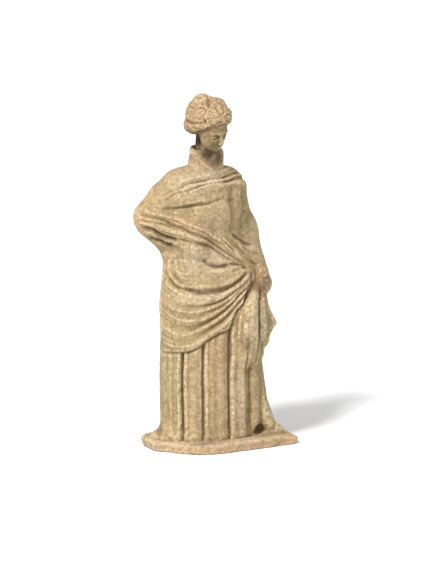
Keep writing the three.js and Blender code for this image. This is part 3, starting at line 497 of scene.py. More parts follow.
# The turns each cloth lies between and fades over, how deep its folds are, and its fine creases.
for cloth, start, end, fade, depth, creases in [
    (CHEST, -84, 80, 12, 1.15, 0.34),
    (WAIST, -96, 48, 12, 1.0, 0.3),
    (LOOPS, -96, 40, 14, 0.86, 0.18),
    (BACK, 116, 228, 18, 1.0, 0.1),
]:
    relief += depth * drape(cloth, start, end, fade, creases)
STROKES = [  # height, width and places
    # Two fine creases from the right elbow over the chest to the left shoulder.
    (
        [-0.3, -0.5, -0.3, -0.5, -0.5, -0.3], 0.6,
        [-89, 148.2], [-84, 153.1], [-78, 158.2], [-73, 161.4], [-64, 169.2], [-56, 176.4], [-42, 184.4],
        [-23, 189], [-2, 191], [25, 189.9], [49, 185.1],
    ),
    (
        [-0.3, -0.5, -0.3, -0.4, -0.5, -0.2], 0.6,
        [-84, 145.9], [-79, 151.2], [-73, 157.9], [-63, 163.1], [-53, 171.2], [-39, 180.2], [-23, 185.8],
        [1, 188.9], [27, 187.9], [49, 183.2],
    ),
    # The shawl's crisp edges, one under the other, up to the left shoulder.
    (
        [0.1, 0.45, 0.45, 0.4], 0.7,
        [-69, 170.2], [-62, 177.3], [-50, 185.7], [-29, 191.6], [0, 193.6], [34, 192], [57, 187.3],
    ),
    (
        [0.1, 0.5, 0.5, 0.4], 0.8,
        [-76, 150], [-68, 157], [-58, 164.2], [-48, 171.4], [-36, 178.3], [-17, 183.9], [10, 185.7],
        [37, 182.9],
    ),
    (
        [-0.1, -0.5, -0.55, -0.5], 0.6,
        [-64, 157], [-52, 165.8], [-41, 174.2], [-23, 180.7], [-2, 182.9], [22, 182.3], [43, 179.1],
        [58, 173.8],
    ),
    # The roll's finer streaks, and the cloth drawn towards the hand.
    ([0.8, 1.0, 0.8], 0.8, [15, 115.4], [22, 112.1], [36, 107.8], [50, 101.5]),
    (-1.0, 0.8, [17, 112.5], [31, 108.2], [43, 103.6]),
    ([-0.7, -0.9, -0.5], 0.8, [46, 109.9], [57, 104.3], [66, 100.1]),
    ([-0.4, -0.5], 0.9, [61, 107.1], [73, 102.2], [82, 97.4]),
    (0.4, 0.8, [-82, 131.5], [-74, 134.1], [-59, 132.8]),
    (-0.5, 0.9, [-92, 124], [-78, 121], [-60, 118]),
    (-1.2, 0.9, [41, 95.9], [47, 95.3], [54, 94.9]),
    # Her wrist, where the sleeve of cloth ends.
    (-0.9, 0.9, [62, 99], [67, 97.3], [73, 94.6], [75, 91], [76, 88.1]),
    (-0.9, 1.1, [44, 115.5], [63, 110.6], [69, 107.8], [75, 106.4], [80, 104.9]),
    # Under the forearm, where the cloth is drawn in behind the hip.
    ([-1.2, -2.4, -2.6, -1.8], 1.5, [-104, 121], [-94, 119], [-90, 115.5], [-82, 114.2], [-66, 113]),
    ([-1.2, -2.0, -2.6, -1.4], 1.3, [-108, 115], [-101, 113.6], [-94, 112.4], [-85, 110.6], [-72, 111.5]),
    # The shawl's lower line over the chest, and the cloth sunk under it.
    (
        [-0.4, -1.2, -2.0, -1.6, -1.2, -0.4], 1.2,
        [-92, 135.2], [-87, 136], [-82, 137.8], [-68, 142.3], [-54, 146.8], [-37, 151.8], [-21, 153.9],
        [-7, 158.6], [13, 161.3], [34, 160.9],
    ),
    ([0.2, 0.5, 0.6, 0.4], 1.2, [-80, 142], [-68, 146], [-54, 150.5], [-37, 155.5], [-21, 158]),
    (-0.9, 2.6, [-67, 141.5], [-60, 141], [-50, 140], [-42, 141]),
    (-0.5, 0.8, [-52, 132.5], [-39, 132]),
    # Down her upper left arm, and between it and the chest.
    ([-0.8, -1.4, -1.3, -0.8], 2.2, [51, 175.1], [43, 161.3], [37, 141], [42, 122], [43, 113.6]),
    ([-0.2, -0.5, -0.5], 1.8, [63, 163.2], [62, 145.8], [67, 124.2], [69, 116.8], [66, 109.9]),
    (-0.8, 3.0, [33, 159.3], [26, 134.4], [48, 119.1], [63, 110.4]),
    (0.5, 0.8, [59, 162.9], [57, 150.5], [55, 135.2]),
    (-0.8, 1.6, [70, 129], [71, 126.5], [71, 123]),
    # Over the hip, and down her right side.
    ([-0.5, -0.9, -0.4], 1.5, [-40, 103], [-24, 99.8], [-5, 98], [20, 98]),
    (0.6, 1.0, [-73, 108.2], [-81, 100.8], [-80, 95.2], [-72, 90.3], [-57, 87.5]),
    (0.5, 0.9, [-27, 112], [-14, 107.2], [-2, 104.5]),
    (0.5, 0.8, [-81, 95.2], [-77, 92.3], [-72, 88.9], [-66, 86.3], [-60, 84.7], [-53, 82.7], [-43, 81.9]),
    (
        -0.4, 0.9,
        [-77, 97.9], [-73, 93.5], [-67, 89.6], [-59, 86.9], [-42, 84], [-20, 82.7], [9, 85.3], [41, 91.7],
    ),
    (0.3, 0.8, [-53, 90.3], [-43, 88.2], [-34, 87.5], [-21, 87.5], [-7, 88.2], [6, 88.9], [20, 90.3]),
    (
        [-0.2, -0.4, -0.5, -0.4], 1.0,
        [-43, 105], [-38, 103], [-31, 100.8], [-23, 98.7], [-8, 97.7], [4, 98], [20, 98.7],
    ),
    (0.5, 0.9, [-37, 107], [-30, 104.2], [-18, 101.8], [-6, 100.4], [9, 100.1], [22, 100.8]),
    (-0.4, 0.8, [-79, 104.3], [-79, 100.9], [-77, 97.9]),
    (0.35, 0.7, [-72, 108.3], [-74, 102.9], [-72, 98], [-67, 93.8], [-59, 90.7]),
    (-0.3, 0.7, [-62, 108.5], [-65, 102.7], [-62, 98], [-55, 94.4]),
    (0.45, 0.7, [-1, 92.3], [12, 93.8], [24, 95.2], [37, 95.8]),
    (-0.45, 0.7, [-2, 90.3], [12, 91.7], [25, 93.2]),
    (0.6, 1.3, [-89, 104.3], [-93, 89.7], [-91, 73.1], [-90, 56.1]),
    (0.5, 1.3, [-81, 105], [-82, 100.8], [-82, 96.5], [-80, 91]),
    (-0.5, 1.3, [-88, 104], [-89, 96], [-88, 88], [-87, 80]),
    # The edge that the loops are gathered into, from her left hand down.
    ([-1.0, -1.8, -1.8, -1.2], 1.1, [61, 93.1], [53, 90.3], [51, 86.6], [45, 84], [34, 78.5]),
]
for height, width, *places in STROKES:
    relief += marked(height, width, drawn(places), flesh)

# The hem runs from her back round her right side and up to the left hand, and on behind the end
# that hangs from it. Below it the dress falls in flutes, each from one valley to the next.
HEM_PROUD = 2.0
CLOSE_HEM_PROUD = 0.3  # low behind her right side, where the mantle lies close
CLOSE_FROM = (-150, -110)
CLOSE_TO = (-96, -62)
CLOSE_UP_TO = (56, 76)
COLLAR_RISES = (SHOULDER_RISE + 66, SHOULDER_RISE + 78)  # smooth above, under the collar
UNDERCUT = 0.9  # of the dress's edge, save where clay is smeared against it
SMEAR_TURN = -96
HEM = [
    [-190, 49],
    [-100, 49.5],
    [-77, 50.6],
    [-66, 50.8],
    [-55, 51.7],
    [-47, 53.2],
    [-36, 56.5],
    [-23, 59.3],
    [-10, 61],
    [0, 61.6],
    [10, 63.5],
    [14, 67.9],
    [19, 72.1],
    [30, 76.2],
    [34, 78.5],
    [45, 84],
    [54, 87],
    [66, 78],
    [80, 58],
    [100, 50],
    [170, 49],
]
FLUTE_HEIGHTS = [9, 24, 43, 60]
FLUTES = [  # how high the cloth stands, and its turn at those heights
    (-1.5, [-108, -107, -106, -108]),
    (0.7, [-92, -91, -90, -92]),
    (0.9, [-86, -85, -84, -86]),
    (0.5, [-81, -80, -80, -81]),
    (0.9, [-78, -77, -76, -77]),
    (0.4, [-75, -74, -73, -74]),
    (0.8, [-72.5, -71.5, -70.5, -71.5]),
    (1.1, [-69, -68, -67, -68]),
    (-2.7, [-66, -65, -63, -64]),
    (0.9, [-63, -62, -60, -60]),
    (0.5, [-60, -58, -56.5, -57]),
    (1.2, [-55, -53, -50, -50]),
    (0.6, [-49, -46, -43, -44]),
    (-2.2, [-43, -40, -37, -37]),
    (1.0, [-40, -37, -33.5, -33.5]),
    (0.7, [-36, -33, -29, -29]),
    (1.2, [-31, -27, -23, -23]),
    (1.0, [-25, -21, -17, -16]),
    (1.5, [-19, -15, -10, -9]),
    (0.4, [-9, -4, 1, 2]),
    (-2.2, [-1, 4, 10, 11]),
    (1.2, [4, 9, 14.5, 15]),
    (0.8, [14, 18, 21, 22]),
    (1.4, [23, 27, 28, 29]),
    (-0.8, [31, 34, 33, 35]),
    (-1.7, [37, 39, 38.5, 41]),
    (0.6, [46, 49, 48, 54]),
    (-1.4, [55, 63, 66, 72]),
    (0.8, [66, 76, 80, 84]),
]
FLUTE_EDGE = 1.9  # how sharply the flutes meet in their valleys
BACK_FLUTES = 10
BACK_TURNS = (88, 243)
for i in range(2 * BACK_FLUTES + 1):
    at_turn = mix(*BACK_TURNS, i / (2 * BACK_FLUTES))
    FLUTES.append((0.9 if i % 2 else -1.5, [at_turn - 8, at_turn - 4, at_turn - 1, at_turn]))


def flutes():
    crests = np.array([np.interp(rise, FLUTE_HEIGHTS, places) for _, places in FLUTES])
    heights = np.array([height for height, _ in FLUTES])
    crests = np.vstack([crests, crests[0] + 360])
    heights = np.append(heights, heights[0])
    at = np.where(turn < crests[0], turn + 360, turn)
    after = np.clip((crests <= at).sum(0), 1, len(crests) - 1)
    rows = np.arange(len(at))
    before_turn, after_turn = crests[after - 1, rows], crests[after, rows]
    t = np.clip((at - before_turn) / (after_turn - before_turn), 0, 1)
    before_height, after_height = heights[after - 1], heights[after]
    rising = after_height > before_height
    up = swing(t, np.where(rising, FLUTE_EDGE, 0.0), np.where(rising, 0.0, FLUTE_EDGE))
    shallower_behind = 1 - 0.25 * ramp(np.abs(turn), 95, 130)
    return mix(before_height, after_height, up) * shallower_behind


hem_gap, _ = from_line(drawn(HEM), flesh)
hem_turn = beside(turn, -10)
below_hem = rise < along(HEM, hem_turn)[:, 0]
close = ramp(hem_turn, *CLOSE_FROM) * (1 - ramp(hem_turn, *CLOSE_TO)) * (1 - ramp(rise, *CLOSE_UP_TO))
mantle = mix(HEM_PROUD, CLOSE_HEM_PROUD, close) * ramp(hem_gap, -0.6, 1.0) - HEM_PROUD / 2 + relief
mantle *= 1 - ramp(rise, *COLLAR_RISES)
dress = flutes() * ramp(hem_gap, -1, 2) - HEM_PROUD / 2
relief = np.where(below_hem, dress, mantle)
relief -= UNDERCUT * (1 - ramp(rise, 0.2, 1.8)) * ramp(np.abs(turn - SMEAR_TURN), 6, 16)
for axis in (0, 1):  # the tool's marks are worn a little
    field = relief.reshape(RINGS + 1, SPOKES)
    before, after = np.roll(field, 1, axis), np.roll(field, -1, axis)
    if axis == 0:
        before[0], after[-1] = field[0], field[-1]
    relief = ((before + 2 * field + after) / 4).ravel()
cloth_points = flesh + outwards * relief[:, None]


def woven_tube(points, rings, spokes):
    """A closed tube of rings, drawn in at its ends."""
    bm = bmesh.new()
    bmesh.ops.create_grid(bm, x_segments=spokes, y_segments=rings, size=0.5)
    for v in bm.verts:
        j = round((v.co.y + 0.5) * rings)
        k = round((v.co.x + 0.5) * spokes) % spokes
        v.co = points[j * spokes + k]
    bmesh.ops.remove_doubles(bm, verts=bm.verts, dist=1e-4)
    bmesh.ops.holes_fill(bm, edges=bm.edges)
    bmesh.ops.recalc_face_normals(bm, faces=bm.faces)
    return bm


def piece_from(bm, name):
    """A mesh in millimetres from the plaque's top, made an object in the frame's metres."""
    bmesh.ops.transform(
        bm, matrix=Matrix.Translation((0, 0, PLAQUE_TOP)) @ Matrix.Scale(MM, 4), verts=bm.verts
    )
    mesh = bpy.data.meshes.new(name)
    bm.to_mesh(mesh)
    bm.free()
    piece = bpy.data.objects.new(name, mesh)
    bpy.context.scene.collection.objects.link(piece)
    return piece


woman = piece_from(woven_tube(cloth_points, RINGS, SPOKES), "terracotta_woman")


# Her head
# Moulded apart and luted on: a calm, oval face under thick hair, which is rolled back from the brow over
# the ears to a bun at the nape and tied in a knot on the crown. She looks to her left and a little down.
HEAD_CENTRE = (-6.7, -0.8, 176.8)
HEAD_TURN = math.radians(14)
HEAD_BOW = math.radians(17)
HEAD_REACH = 22
HAIR_ROLL = [  # from over the brow back to the bun, on her left, and how thick
    ((0, -9.0, 6.6), 1.7),
    ((4.4, -8.3, 5.6), 1.8),
    ((7.6, -6.2, 3.4), 2.0),
    ((9.2, -2.6, 0.8), 2.4),
    ((9.6, 2.0, -1.8), 2.9),
    ((7.0, 7.4, -4.0), 3.4),
]
CURL = 2.6
CURL_HEIGHT = 0.36
STIR_OFFSETS = [(0, 0, 0), (9.3, 1.5, 7.9), (3.7, 8.1, 2.6)]


def face(q):
    m = np.column_stack([np.abs(q[:, 0]), q[:, 1:]])
    d = egg(q, (0, 0.8, 2.4), (9.2, 10.8, 9.4))  # skull
    d = melt(d, egg(q, (0, -4.6, -4.4), (7.7, 6.5, 9.4)), 3)  # cheeks and jaw
    d = melt(d, egg(q, (0, -7.2, -11.4), (3.6, 3.2, 2.7)), 3)  # chin
    d = melt(d, limb(m, (0.8, -10.6, -1.2), (5.4, -8.6, -1.6), 1, 0.7), 1.6)  # brows
    d = common(d, -egg(m, (3.7, -11.4, -3.5), (2.6, 2.0, 1.7)), 0.8)  # sockets
    d = melt(d, egg(m, (3.6, -8.9, -3.6), (2.0, 1.5, 1.0)), 0.3)  # eyes
    d = melt(d, limb(q, (0, -10.4, -1.2), (0, -12.4, -6.6), 0.9, 1.2), 1.2)  # nose
    d = melt(d, egg(m, (0.9, -11.5, -7.0), (1.0, 0.9, 0.7)), 0.6)  # nostrils
    d = melt(d, egg(q, (0, -10.7, -9.2), (2.4, 1.2, 0.65)), 0.3)  # upper lip
    d = melt(d, egg(q, (0, -10.4, -10.6), (2.0, 1.2, 0.75)), 0.3)  # lower lip
    return melt(d, limb(q, (0, 2.6, -6), (0, 1, -14), 4.6, 4.6), 0.8)  # neck


def hair(q):
    m = np.column_stack([np.abs(q[:, 0]), q[:, 1:]])
    y, z = q[:, 1], q[:, 2]
    d = egg(q, (0, 1.6, 2.8), (11.4, 11.6, 10.8))  # over the skull
    d = melt(d, egg(q, (-1.4, 6.2, 3.4), (9.4, 8.4, 8.8)), 3)  # behind
    d = melt(d, egg(q, (0.4, -4.9, 7.4), (9.4, 5.9, 4.8)), 3)  # over the brow
    slanting_edge = y * 0.5 + z * 0.86 + mix(1.2, 8.6, ramp(y, -2, 5))
    d = np.maximum(d, -slanting_edge)
    roll = [limb(m, a, b, r, s) for (a, r), (b, s) in zip(HAIR_ROLL, HAIR_ROLL[1:])]
    d = melt(d, np.minimum.reduce(roll), 1.6)
    d = melt(d, egg(q, (-3.4, 5.8, 11.2), (5.4, 5.2, 4.3)), 2.4)  # the knot on the crown
    d = melt(d, egg(q, (2.4, 0.2, 11.6), (5.6, 5.2, 3.2)), 1.6)  # and its other half
    return melt(d, egg(q, (-1.6, 9.2, -4.4), (7.4, 5.6, 6.2)), 1.4)  # the bun


def head_shape(q):
    return melt(face(q), hair(q), 0.6)


def stirred(point):
    """A shift that changes smoothly from place to place."""
    return Vector([noise.noise(point + Vector(offset)) for offset in STIR_OFFSETS])


def headed(at_turn, at_rise):
    """Points on the head from turns, 0 over her nose and growing to her left, and rises."""
    aim = aimed(np.radians(at_turn), np.radians(at_rise))
    return meet(head_shape, np.zeros_like(aim), aim, HEAD_REACH)


HAIR_LINES = [  # depth, width and places on her right side
    (-0.7, 0.8, [-137, -8], [-126, -2], [-102, 3], [-81, 12], [-65, 21], [-57, 29]),
    (-0.5, 0.9, [-62, 30], [-39, 37], [-20, 42], [0, 43]),
    (-0.9, 0.6, [-53, 4], [-46, 10], [-39, 15], [-24, 23], [-10, 28], [0, 28]),
    (-0.8, 0.5, [-71, 29], [-62, 25], [-53, 18], [-51, 9]),
    (-0.6, 0.5, [-57, 32], [-62, 21], [-57, 11]),
    (-0.6, 0.7, [-99, -4], [-83, -5], [-71, -4], [-60, 0]),
    (-0.4, 0.7, [-111, -14], [-99, -20], [-92, -28], [-72, -20]),
    (-0.5, 0.6, [-98, 42], [-93, 53], [-74, 54], [-68, 44], [-80, 33]),
    (-0.4, 0.6, [-144, 29], [-117, 36], [-102, 35], [-108, 20]),
    (-0.5, 0.7, [-78, 77], [-71, 60], [-53, 51], [-38, 51]),
    (-0.4, 0.6, [-147, 47], [-132, 54], [-119, 65]),
    (-0.4, 0.6, [-128, 17], [-111, 18], [-113, 9]),
    (-0.4, 0.6, [-96, 23], [-83, 24], [-71, 30]),
    (-0.4, 0.6, [-63, 47], [-45, 42], [-30, 45]),
]
CROWN_LINES = [
    (-0.7, 0.7, [-38, 71], [-27, 62], [-23, 56], [-18, 50]),
    (-0.5, 0.9, [-177, 62], [-137, 75], [-102, 74], [-78, 62]),
    (-0.4, 0.6, [34, 75], [19, 65], [-5, 54]),
    (-0.4, 0.6, [19, 59], [-3, 50], [-24, 45]),
]
HEAD_WEIGHTS = (0.15, 0.2)  # millimetres for a degree of turn and of rise
RUN_OUT = 1.5

bm = bmesh.new()
bmesh.ops.create_icosphere(bm, subdivisions=6, radius=1)
aims = np.array([v.co for v in bm.verts])
aims /= np.linalg.norm(aims, axis=1)[:, None]
head_skin = meet(head_shape, np.zeros_like(aims), aims, HEAD_REACH)
head_out = facing(head_shape, head_skin)
head_relief = np.zeros(len(head_skin))
for side in (1, -1):
    for height, width, *places in HAIR_LINES:
        mirrored = [[turned * side, lifted] for turned, lifted in places]
        head_relief += marked(height, width, drawn(mirrored, headed, HEAD_WEIGHTS), head_skin, RUN_OUT)
for height, width, *places in CROWN_LINES:
    head_relief += marked(height, width, drawn(places, headed, HEAD_WEIGHTS), head_skin, RUN_OUT)
haired = 1 - ramp(hair(head_skin) - face(head_skin), -0.6, 0.3)
for i in np.flatnonzero(haired > 0):
    nearest = noise.voronoi(Vector(head_skin[i]) / CURL + stirred(Vector(head_skin[i]) * 0.3))[0]
    head_relief[i] += CURL_HEIGHT * haired[i] * (ramp(nearest[1] - nearest[0], -0.1, 0.7) - 0.6)
for v, place in zip(bm.verts, head_skin + head_out * head_relief[:, None]):
    v.co = place
tilt = Matrix.Rotation(HEAD_TURN, 4, "Z") @ Matrix.Rotation(HEAD_BOW, 4, "X")
bmesh.ops.transform(bm, matrix=Matrix.Translation(HEAD_CENTRE) @ tilt, verts=bm.verts)
head = piece_from(bm, "head")


# Neck and collar
# The mantle is wound round the neck as a thick collar, high behind and at the sides and low in front,
# and the neck rises out of it.
COLLAR_CENTRE = (-7.6, 1.8)
COLLAR_DIP = 9.0
DIP_TURN = math.radians(20)
DIP_SPREAD = 1.1  # radians
COLLAR_STEPS = 84
NECK_LEAN = (0.8, -1.6)
COLLAR_OUTLINE = [  # radius and height, from the axis outwards and back to it
    (0.0, 140),
    (10.5, 141),
    (12.2, 146),
    (12.4, 149.5),
    (11.6, 151.6),
    (10.4, 153.6),
    (9.5, 156),
    (9.2, 159),
    (9.0, 162),
    (8.3, 163.4),
    (7.4, 163.2),
    (6.8, 161.5),
    (6.2, 156),
    (5.3, 159),
    (5.0, 165),
    (5.2, 172),
    (0.0, 174),
]
bm = bmesh.new()
outline = [bm.verts.new((r, 0, z)) for r, z in COLLAR_OUTLINE]
edges = [bm.edges.new(pair) for pair in zip(outline, outline[1:])]
bmesh.ops.subdivide_edges(bm, edges=edges, cuts=4, smooth=0)
bmesh.ops.spin(
    bm,
    geom=bm.verts[:] + bm.edges[:],
    axis=(0, 0, 1),
    cent=(0, 0, 0),
    angle=2 * math.pi,
    steps=COLLAR_STEPS,
    use_merge=True,
)
bmesh.ops.remove_doubles(bm, verts=bm.verts, dist=1e-3)
for v in bm.verts:
    x, y, z = v.co
    at = math.atan2(x, -y)
    off_dip = (at - DIP_TURN + math.pi) % (2 * math.pi) - math.pi
    cloth = float(ramp(math.hypot(x, y), 5.9, 7.0) * ramp(z, 146, 152))
    neck = float(ramp(z, 150, 170)) * (1 - cloth)
    fold = 1 + cloth * (0.025 * math.cos(z + 2.2 * off_dip) + 0.02 * math.sin(3 * at + 1))
    dip = COLLAR_DIP * cloth * float(ramp(z, 149, 161)) * math.exp(-((off_dip / DIP_SPREAD) ** 2))
    v.co.x = COLLAR_CENTRE[0] + x * fold + NECK_LEAN[0] * neck
    flat = mix(0.72, 0.94, float(ramp(z, 148, 157)))
    v.co.y = COLLAR_CENTRE[1] + y * flat * fold + NECK_LEAN[1] * neck
    v.co.z = z - dip
bmesh.ops.recalc_face_normals(bm, faces=bm.faces)
collar = piece_from(bm, "collar")

# Hanging and wound cloth is laid out across the way the figure is mostly seen, which is 28 degrees
# round to her right: rows of place across, depth and height, half width and half depth.
SEEN_FROM = math.radians(-28)
FOLD_RINGS = 44
FOLD_SPOKES = 40
around = np.linspace(0, 2 * math.pi, FOLD_SPOKES, endpoint=False)


def hung(rows, name, pleats=0, pleat_depth=0):
    """A solid fold through oval sections, with pleats down its front and its left side."""
    rows = np.array(rows, float)
    run = np.concatenate([[0], np.cumsum(np.linalg.norm(np.diff(rows[:, :3], axis=0), axis=1))])
    sections = along(np.column_stack([run, rows]), np.linspace(0, run[-1], FOLD_RINGS + 1))
    across, depth, height, half_width, half_depth = sections.T[:, :, None]
    leftwards, backwards = np.cos(around), np.sin(around)
    in_front = pleat_depth * ramp(-backwards, 0, 0.6) * np.cos(2 * math.pi * pleats * leftwards + 1)
    at_left = pleat_depth * ramp(leftwards, 0.1, 0.7) * np.cos(2 * math.pi * pleats * backwards + 2)
    fading = half_width / np.max(half_width)
    points = np.stack([
        across + half_width * leftwards - at_left * fading,
        depth + half_depth * backwards - in_front * fading,
        height + 0 * around,
    ], axis=-1)
    bm = woven_tube(points.reshape(-1, 3), FOLD_RINGS, FOLD_SPOKES)
    bmesh.ops.transform(bm, matrix=Matrix.Rotation(SEEN_FROM, 4, "Z"), verts=bm.verts)
    return piece_from(bm, name)


WRAP = [  # the mantle's inner turn about the neck, under the chin
    (-5.6, -1.4, 148, 6.6, 6.6),
    (-5.6, -1.6, 152, 7.6, 7.4),
    (-5.7, -1.8, 156, 8.0, 7.8),
    (-5.8, -1.8, 159, 8.1, 7.8),
    (-5.8, -1.7, 161, 7.8, 7.4),
    (-5.8, -1.5, 162, 6.8, 6.6),
    (-5.8, -1.4, 162.3, 5.4, 5.4),
]
wrap = hung(WRAP, "wrap")


# Her left hand and the mantle's end
# The hand holds the gathered cloth, and its end hangs below in a broad fold, a narrow one, a pointed
# flap and two short corners, with more cloth drawn in between and behind them.
HELD = [  # pleats, how deep, and rows as for the collar's inner turn
    (0, 0, [  # her hand, closed on the cloth
        (21.0, 8.5, 95.5, 2.0, 2.4),
        (21.3, 6.4, 92.5, 4.4, 4.4),
        (21.9, 4.8, 89, 6.0, 5.6),
        (22.3, 4.0, 85.5, 6.8, 6.0),
        (22.1, 4.2, 82, 6.2, 5.8),
        (21.8, 4.8, 79.4, 4.8, 4.6),
        (21.6, 6.0, 77.4, 2.2, 2.6),
    ]),
    (2.0, 0.6, [  # the cloth behind the rest
        (22.8, 11.5, 84, 3.0, 4.2),
        (22.9, 11.5, 74, 3.6, 5.0),
        (23.0, 11.0, 60, 3.8, 6.4),
        (23.0, 10.5, 51, 3.2, 6.0),
        (21.6, 10.0, 44, 2.2, 4.8),
        (19.8, 9.4, 38, 1.6, 3.2),
        (17.4, 8.6, 32, 0.5, 1.4),
    ]),
    (1.8, 0.5, [  # the broad fold
        (19.4, 2.5, 88, 1.2, 2.4),
        (18.8, -1.2, 83.5, 2.8, 3.6),
        (17.6, -4.8, 79, 4.2, 4.2),
        (16.4, -7.0, 75, 5.2, 4.4),
        (15.6, -8.3, 70.7, 6.0, 4.4),
        (15.2, -9.0, 65.6, 6.5, 4.4),
        (15.0, -9.2, 59.9, 6.8, 4.3),
        (14.8, -8.8, 55, 6.8, 4.2),
        (14.5, -8.2, 50, 6.4, 3.8),
        (14.2, -7.6, 45, 5.8, 3.2),
        (13.6, -6.4, 40, 4.4, 2.4),
        (13.0, -3.8, 34, 2.0, 1.2),
    ]),
    (0.9, 0.3, [  # the narrow fold beside it
        (22.2, 4.4, 82, 2.0, 3.0),
        (22.6, 0.6, 76.5, 2.8, 3.8),
        (23.0, -1.4, 70, 3.2, 4.2),
        (23.2, -2.2, 64, 3.3, 4.4),
        (23.1, -2.2, 58.6, 3.0, 4.2),
        (22.8, -1.4, 54.4, 2.2, 3.6),
        (22.6, 0.0, 51.8, 1.2, 2.8),
    ]),
    (1.5, 0.5, [  # the cloth drawn in between the two
        (20.6, 3.0, 82, 1.4, 2.4),
        (20.6, 2.2, 76, 2.0, 3.2),
        (20.5, 1.4, 68, 2.4, 3.8),
        (20.3, 0.6, 60, 2.5, 4.2),
        (20.0, -0.6, 50, 2.3, 4.0),
        (18.8, -0.4, 42, 1.6, 3.0),
        (16.8, 0.8, 35, 0.5, 1.2),
    ]),
    (1.5, 0.5, [  # and behind the narrow fold
        (23.8, 3.4, 80, 1.0, 1.8),
        (24.2, 2.6, 72, 1.8, 3.0),
        (24.3, 2.4, 62, 2.0, 3.2),
        (24.0, 2.6, 53, 1.8, 3.0),
        (22.6, 3.0, 44, 1.4, 2.4),
        (20.4, 3.4, 36, 0.5, 1.2),
    ]),
    (1.2, 0.6, [  # the pointed flap
        (25.2, 6.0, 78, 1.0, 2.4),
        (25.6, 5.5, 72.5, 1.6, 3.0),
        (26.4, 5.5, 68.5, 2.4, 3.2),
        (27.2, 5.5, 65.1, 3.2, 3.2),
        (28.1, 5.5, 62.6, 4.0, 3.2),
        (28.1, 5.5, 61.8, 4.1, 3.2),
        (27.6, 5.5, 60, 3.3, 3.0),
        (27.0, 5.5, 56.8, 2.1, 2.8),
        (26.4, 5.5, 54.3, 1.5, 2.4),
    ]),
    (1.5, 0.4, [  # the short corner
        (25.4, 5.5, 58, 1.5, 2.8),
        (25.6, 5.5, 54, 2.2, 3.4),
        (25.6, 5.5, 51.4, 2.2, 3.4),
        (24.6, 5.5, 48.6, 1.4, 2.8),
    ]),
    (1.5, 0.4, [  # the lowest corner
        (23.4, 6.5, 50, 1.5, 3.0),
        (23.4, 6.5, 45.2, 1.5, 3.4),
        (22.9, 6.5, 42.3, 1.3, 3.0),
        (22.0, 6.5, 40, 0.9, 2.0),
        (20.2, 6.5, 37.5, 0.3, 0.9),
    ]),
]
FINGERS = [  # from knuckle to tip, and how thick
    ((25.0, 0.9, 89.6), (19.4, 0.8, 88.0), 1.5),
    ((25.8, 0.4, 86.8), (18.6, -0.3, 85.0), 1.7),
    ((25.6, 0.3, 83.7), (18.6, -0.3, 81.8), 1.7),
    ((24.6, 0.8, 80.9), (19.4, 0.4, 79.2), 1.4),
]
held = [hung(rows, f"fold_{i}", pleats, deep) for i, (pleats, deep, rows) in enumerate(HELD)]
for i, (knuckle, tip, thick) in enumerate(FINGERS):
    bm = bmesh.new()
    bmesh.ops.create_uvsphere(bm, u_segments=20, v_segments=14, radius=thick)
    for v in bm.verts:
        v.co += Vector(knuckle) if v.co.x > 0 else Vector(tip)
    bmesh.ops.transform(bm, matrix=Matrix.Rotation(SEEN_FROM, 4, "Z"), verts=bm.verts)
    held.append(piece_from(bm, f"finger_{i}"))


# Her left foot
# It is set a little to her left, and its toes show at the hem. The dress is drawn out over it, and
# between the two there is a dark hollow.
FOOT_TURN = math.radians(-24)
FOOT_MIDDLE = (24.0, -9.0, 1)
FOOT_HALF_LENGTH = 10.4
FOOT_HALF_WIDTH = 4.8
TOE_NARROWING = 0.2
INSTEP_HEIGHT = 9
TOE_FALL = 5.2
bm = bmesh.new()
bmesh.ops.create_uvsphere(bm, u_segments=48, v_segments=32, radius=1)
for v in bm.verts:
    x, y, z = v.co
    tip = max(x, 0)
    v.co.x = FOOT_HALF_LENGTH * x
    v.co.y = FOOT_HALF_WIDTH * y * (1 - TOE_NARROWING * tip)
    v.co.z = max(z * (INSTEP_HEIGHT - TOE_FALL * tip), SOLE - FOOT_MIDDLE[2])
bmesh.ops.transform(
    bm, matrix=Matrix.Translation(FOOT_MIDDLE) @ Matrix.Rotation(FOOT_TURN, 4, "Z"), verts=bm.verts
)
foot = piece_from(bm, "foot")
DRESS_EDGE = [  # rows as for the collar's inner turn
    (21.2, 4.5, 36, 1.0, 3.0),
    (21.9, 4.2, 31, 1.9, 3.8),
    (22.4, 3.8, 26.5, 2.3, 4.4),
    (23.2, 3.2, 21.2, 2.8, 4.9),
    (23.8, 3, 16.7, 3.4, 5.2),
    (24.6, 3, 12.1, 4.2, 5.2),
    (25.4, 3, 8.5, 4.6, 4.8),
    (26.6, 3, 5, 4.4, 4.4),
    (27.2, 3, 1.0, 3.6, 4.0),
]
HOLLOW = [  # taken out of the clay between the foot and the dress
    (22.2, -4.6, 0.6, 3.0, 4.4),
    (22.5, -4.2, 1.8, 3.8, 5.2),
    (22.6, -4.0, 3.4, 3.2, 5.2),
    (22.6, -4.0, 5.0, 2.2, 4.6),
    (22.4, -4.2, 6.8, 0.7, 2.8),
]
held.append(hung(DRESS_EDGE, "dress_edge"))
hollow = hung(HOLLOW, "hollow")


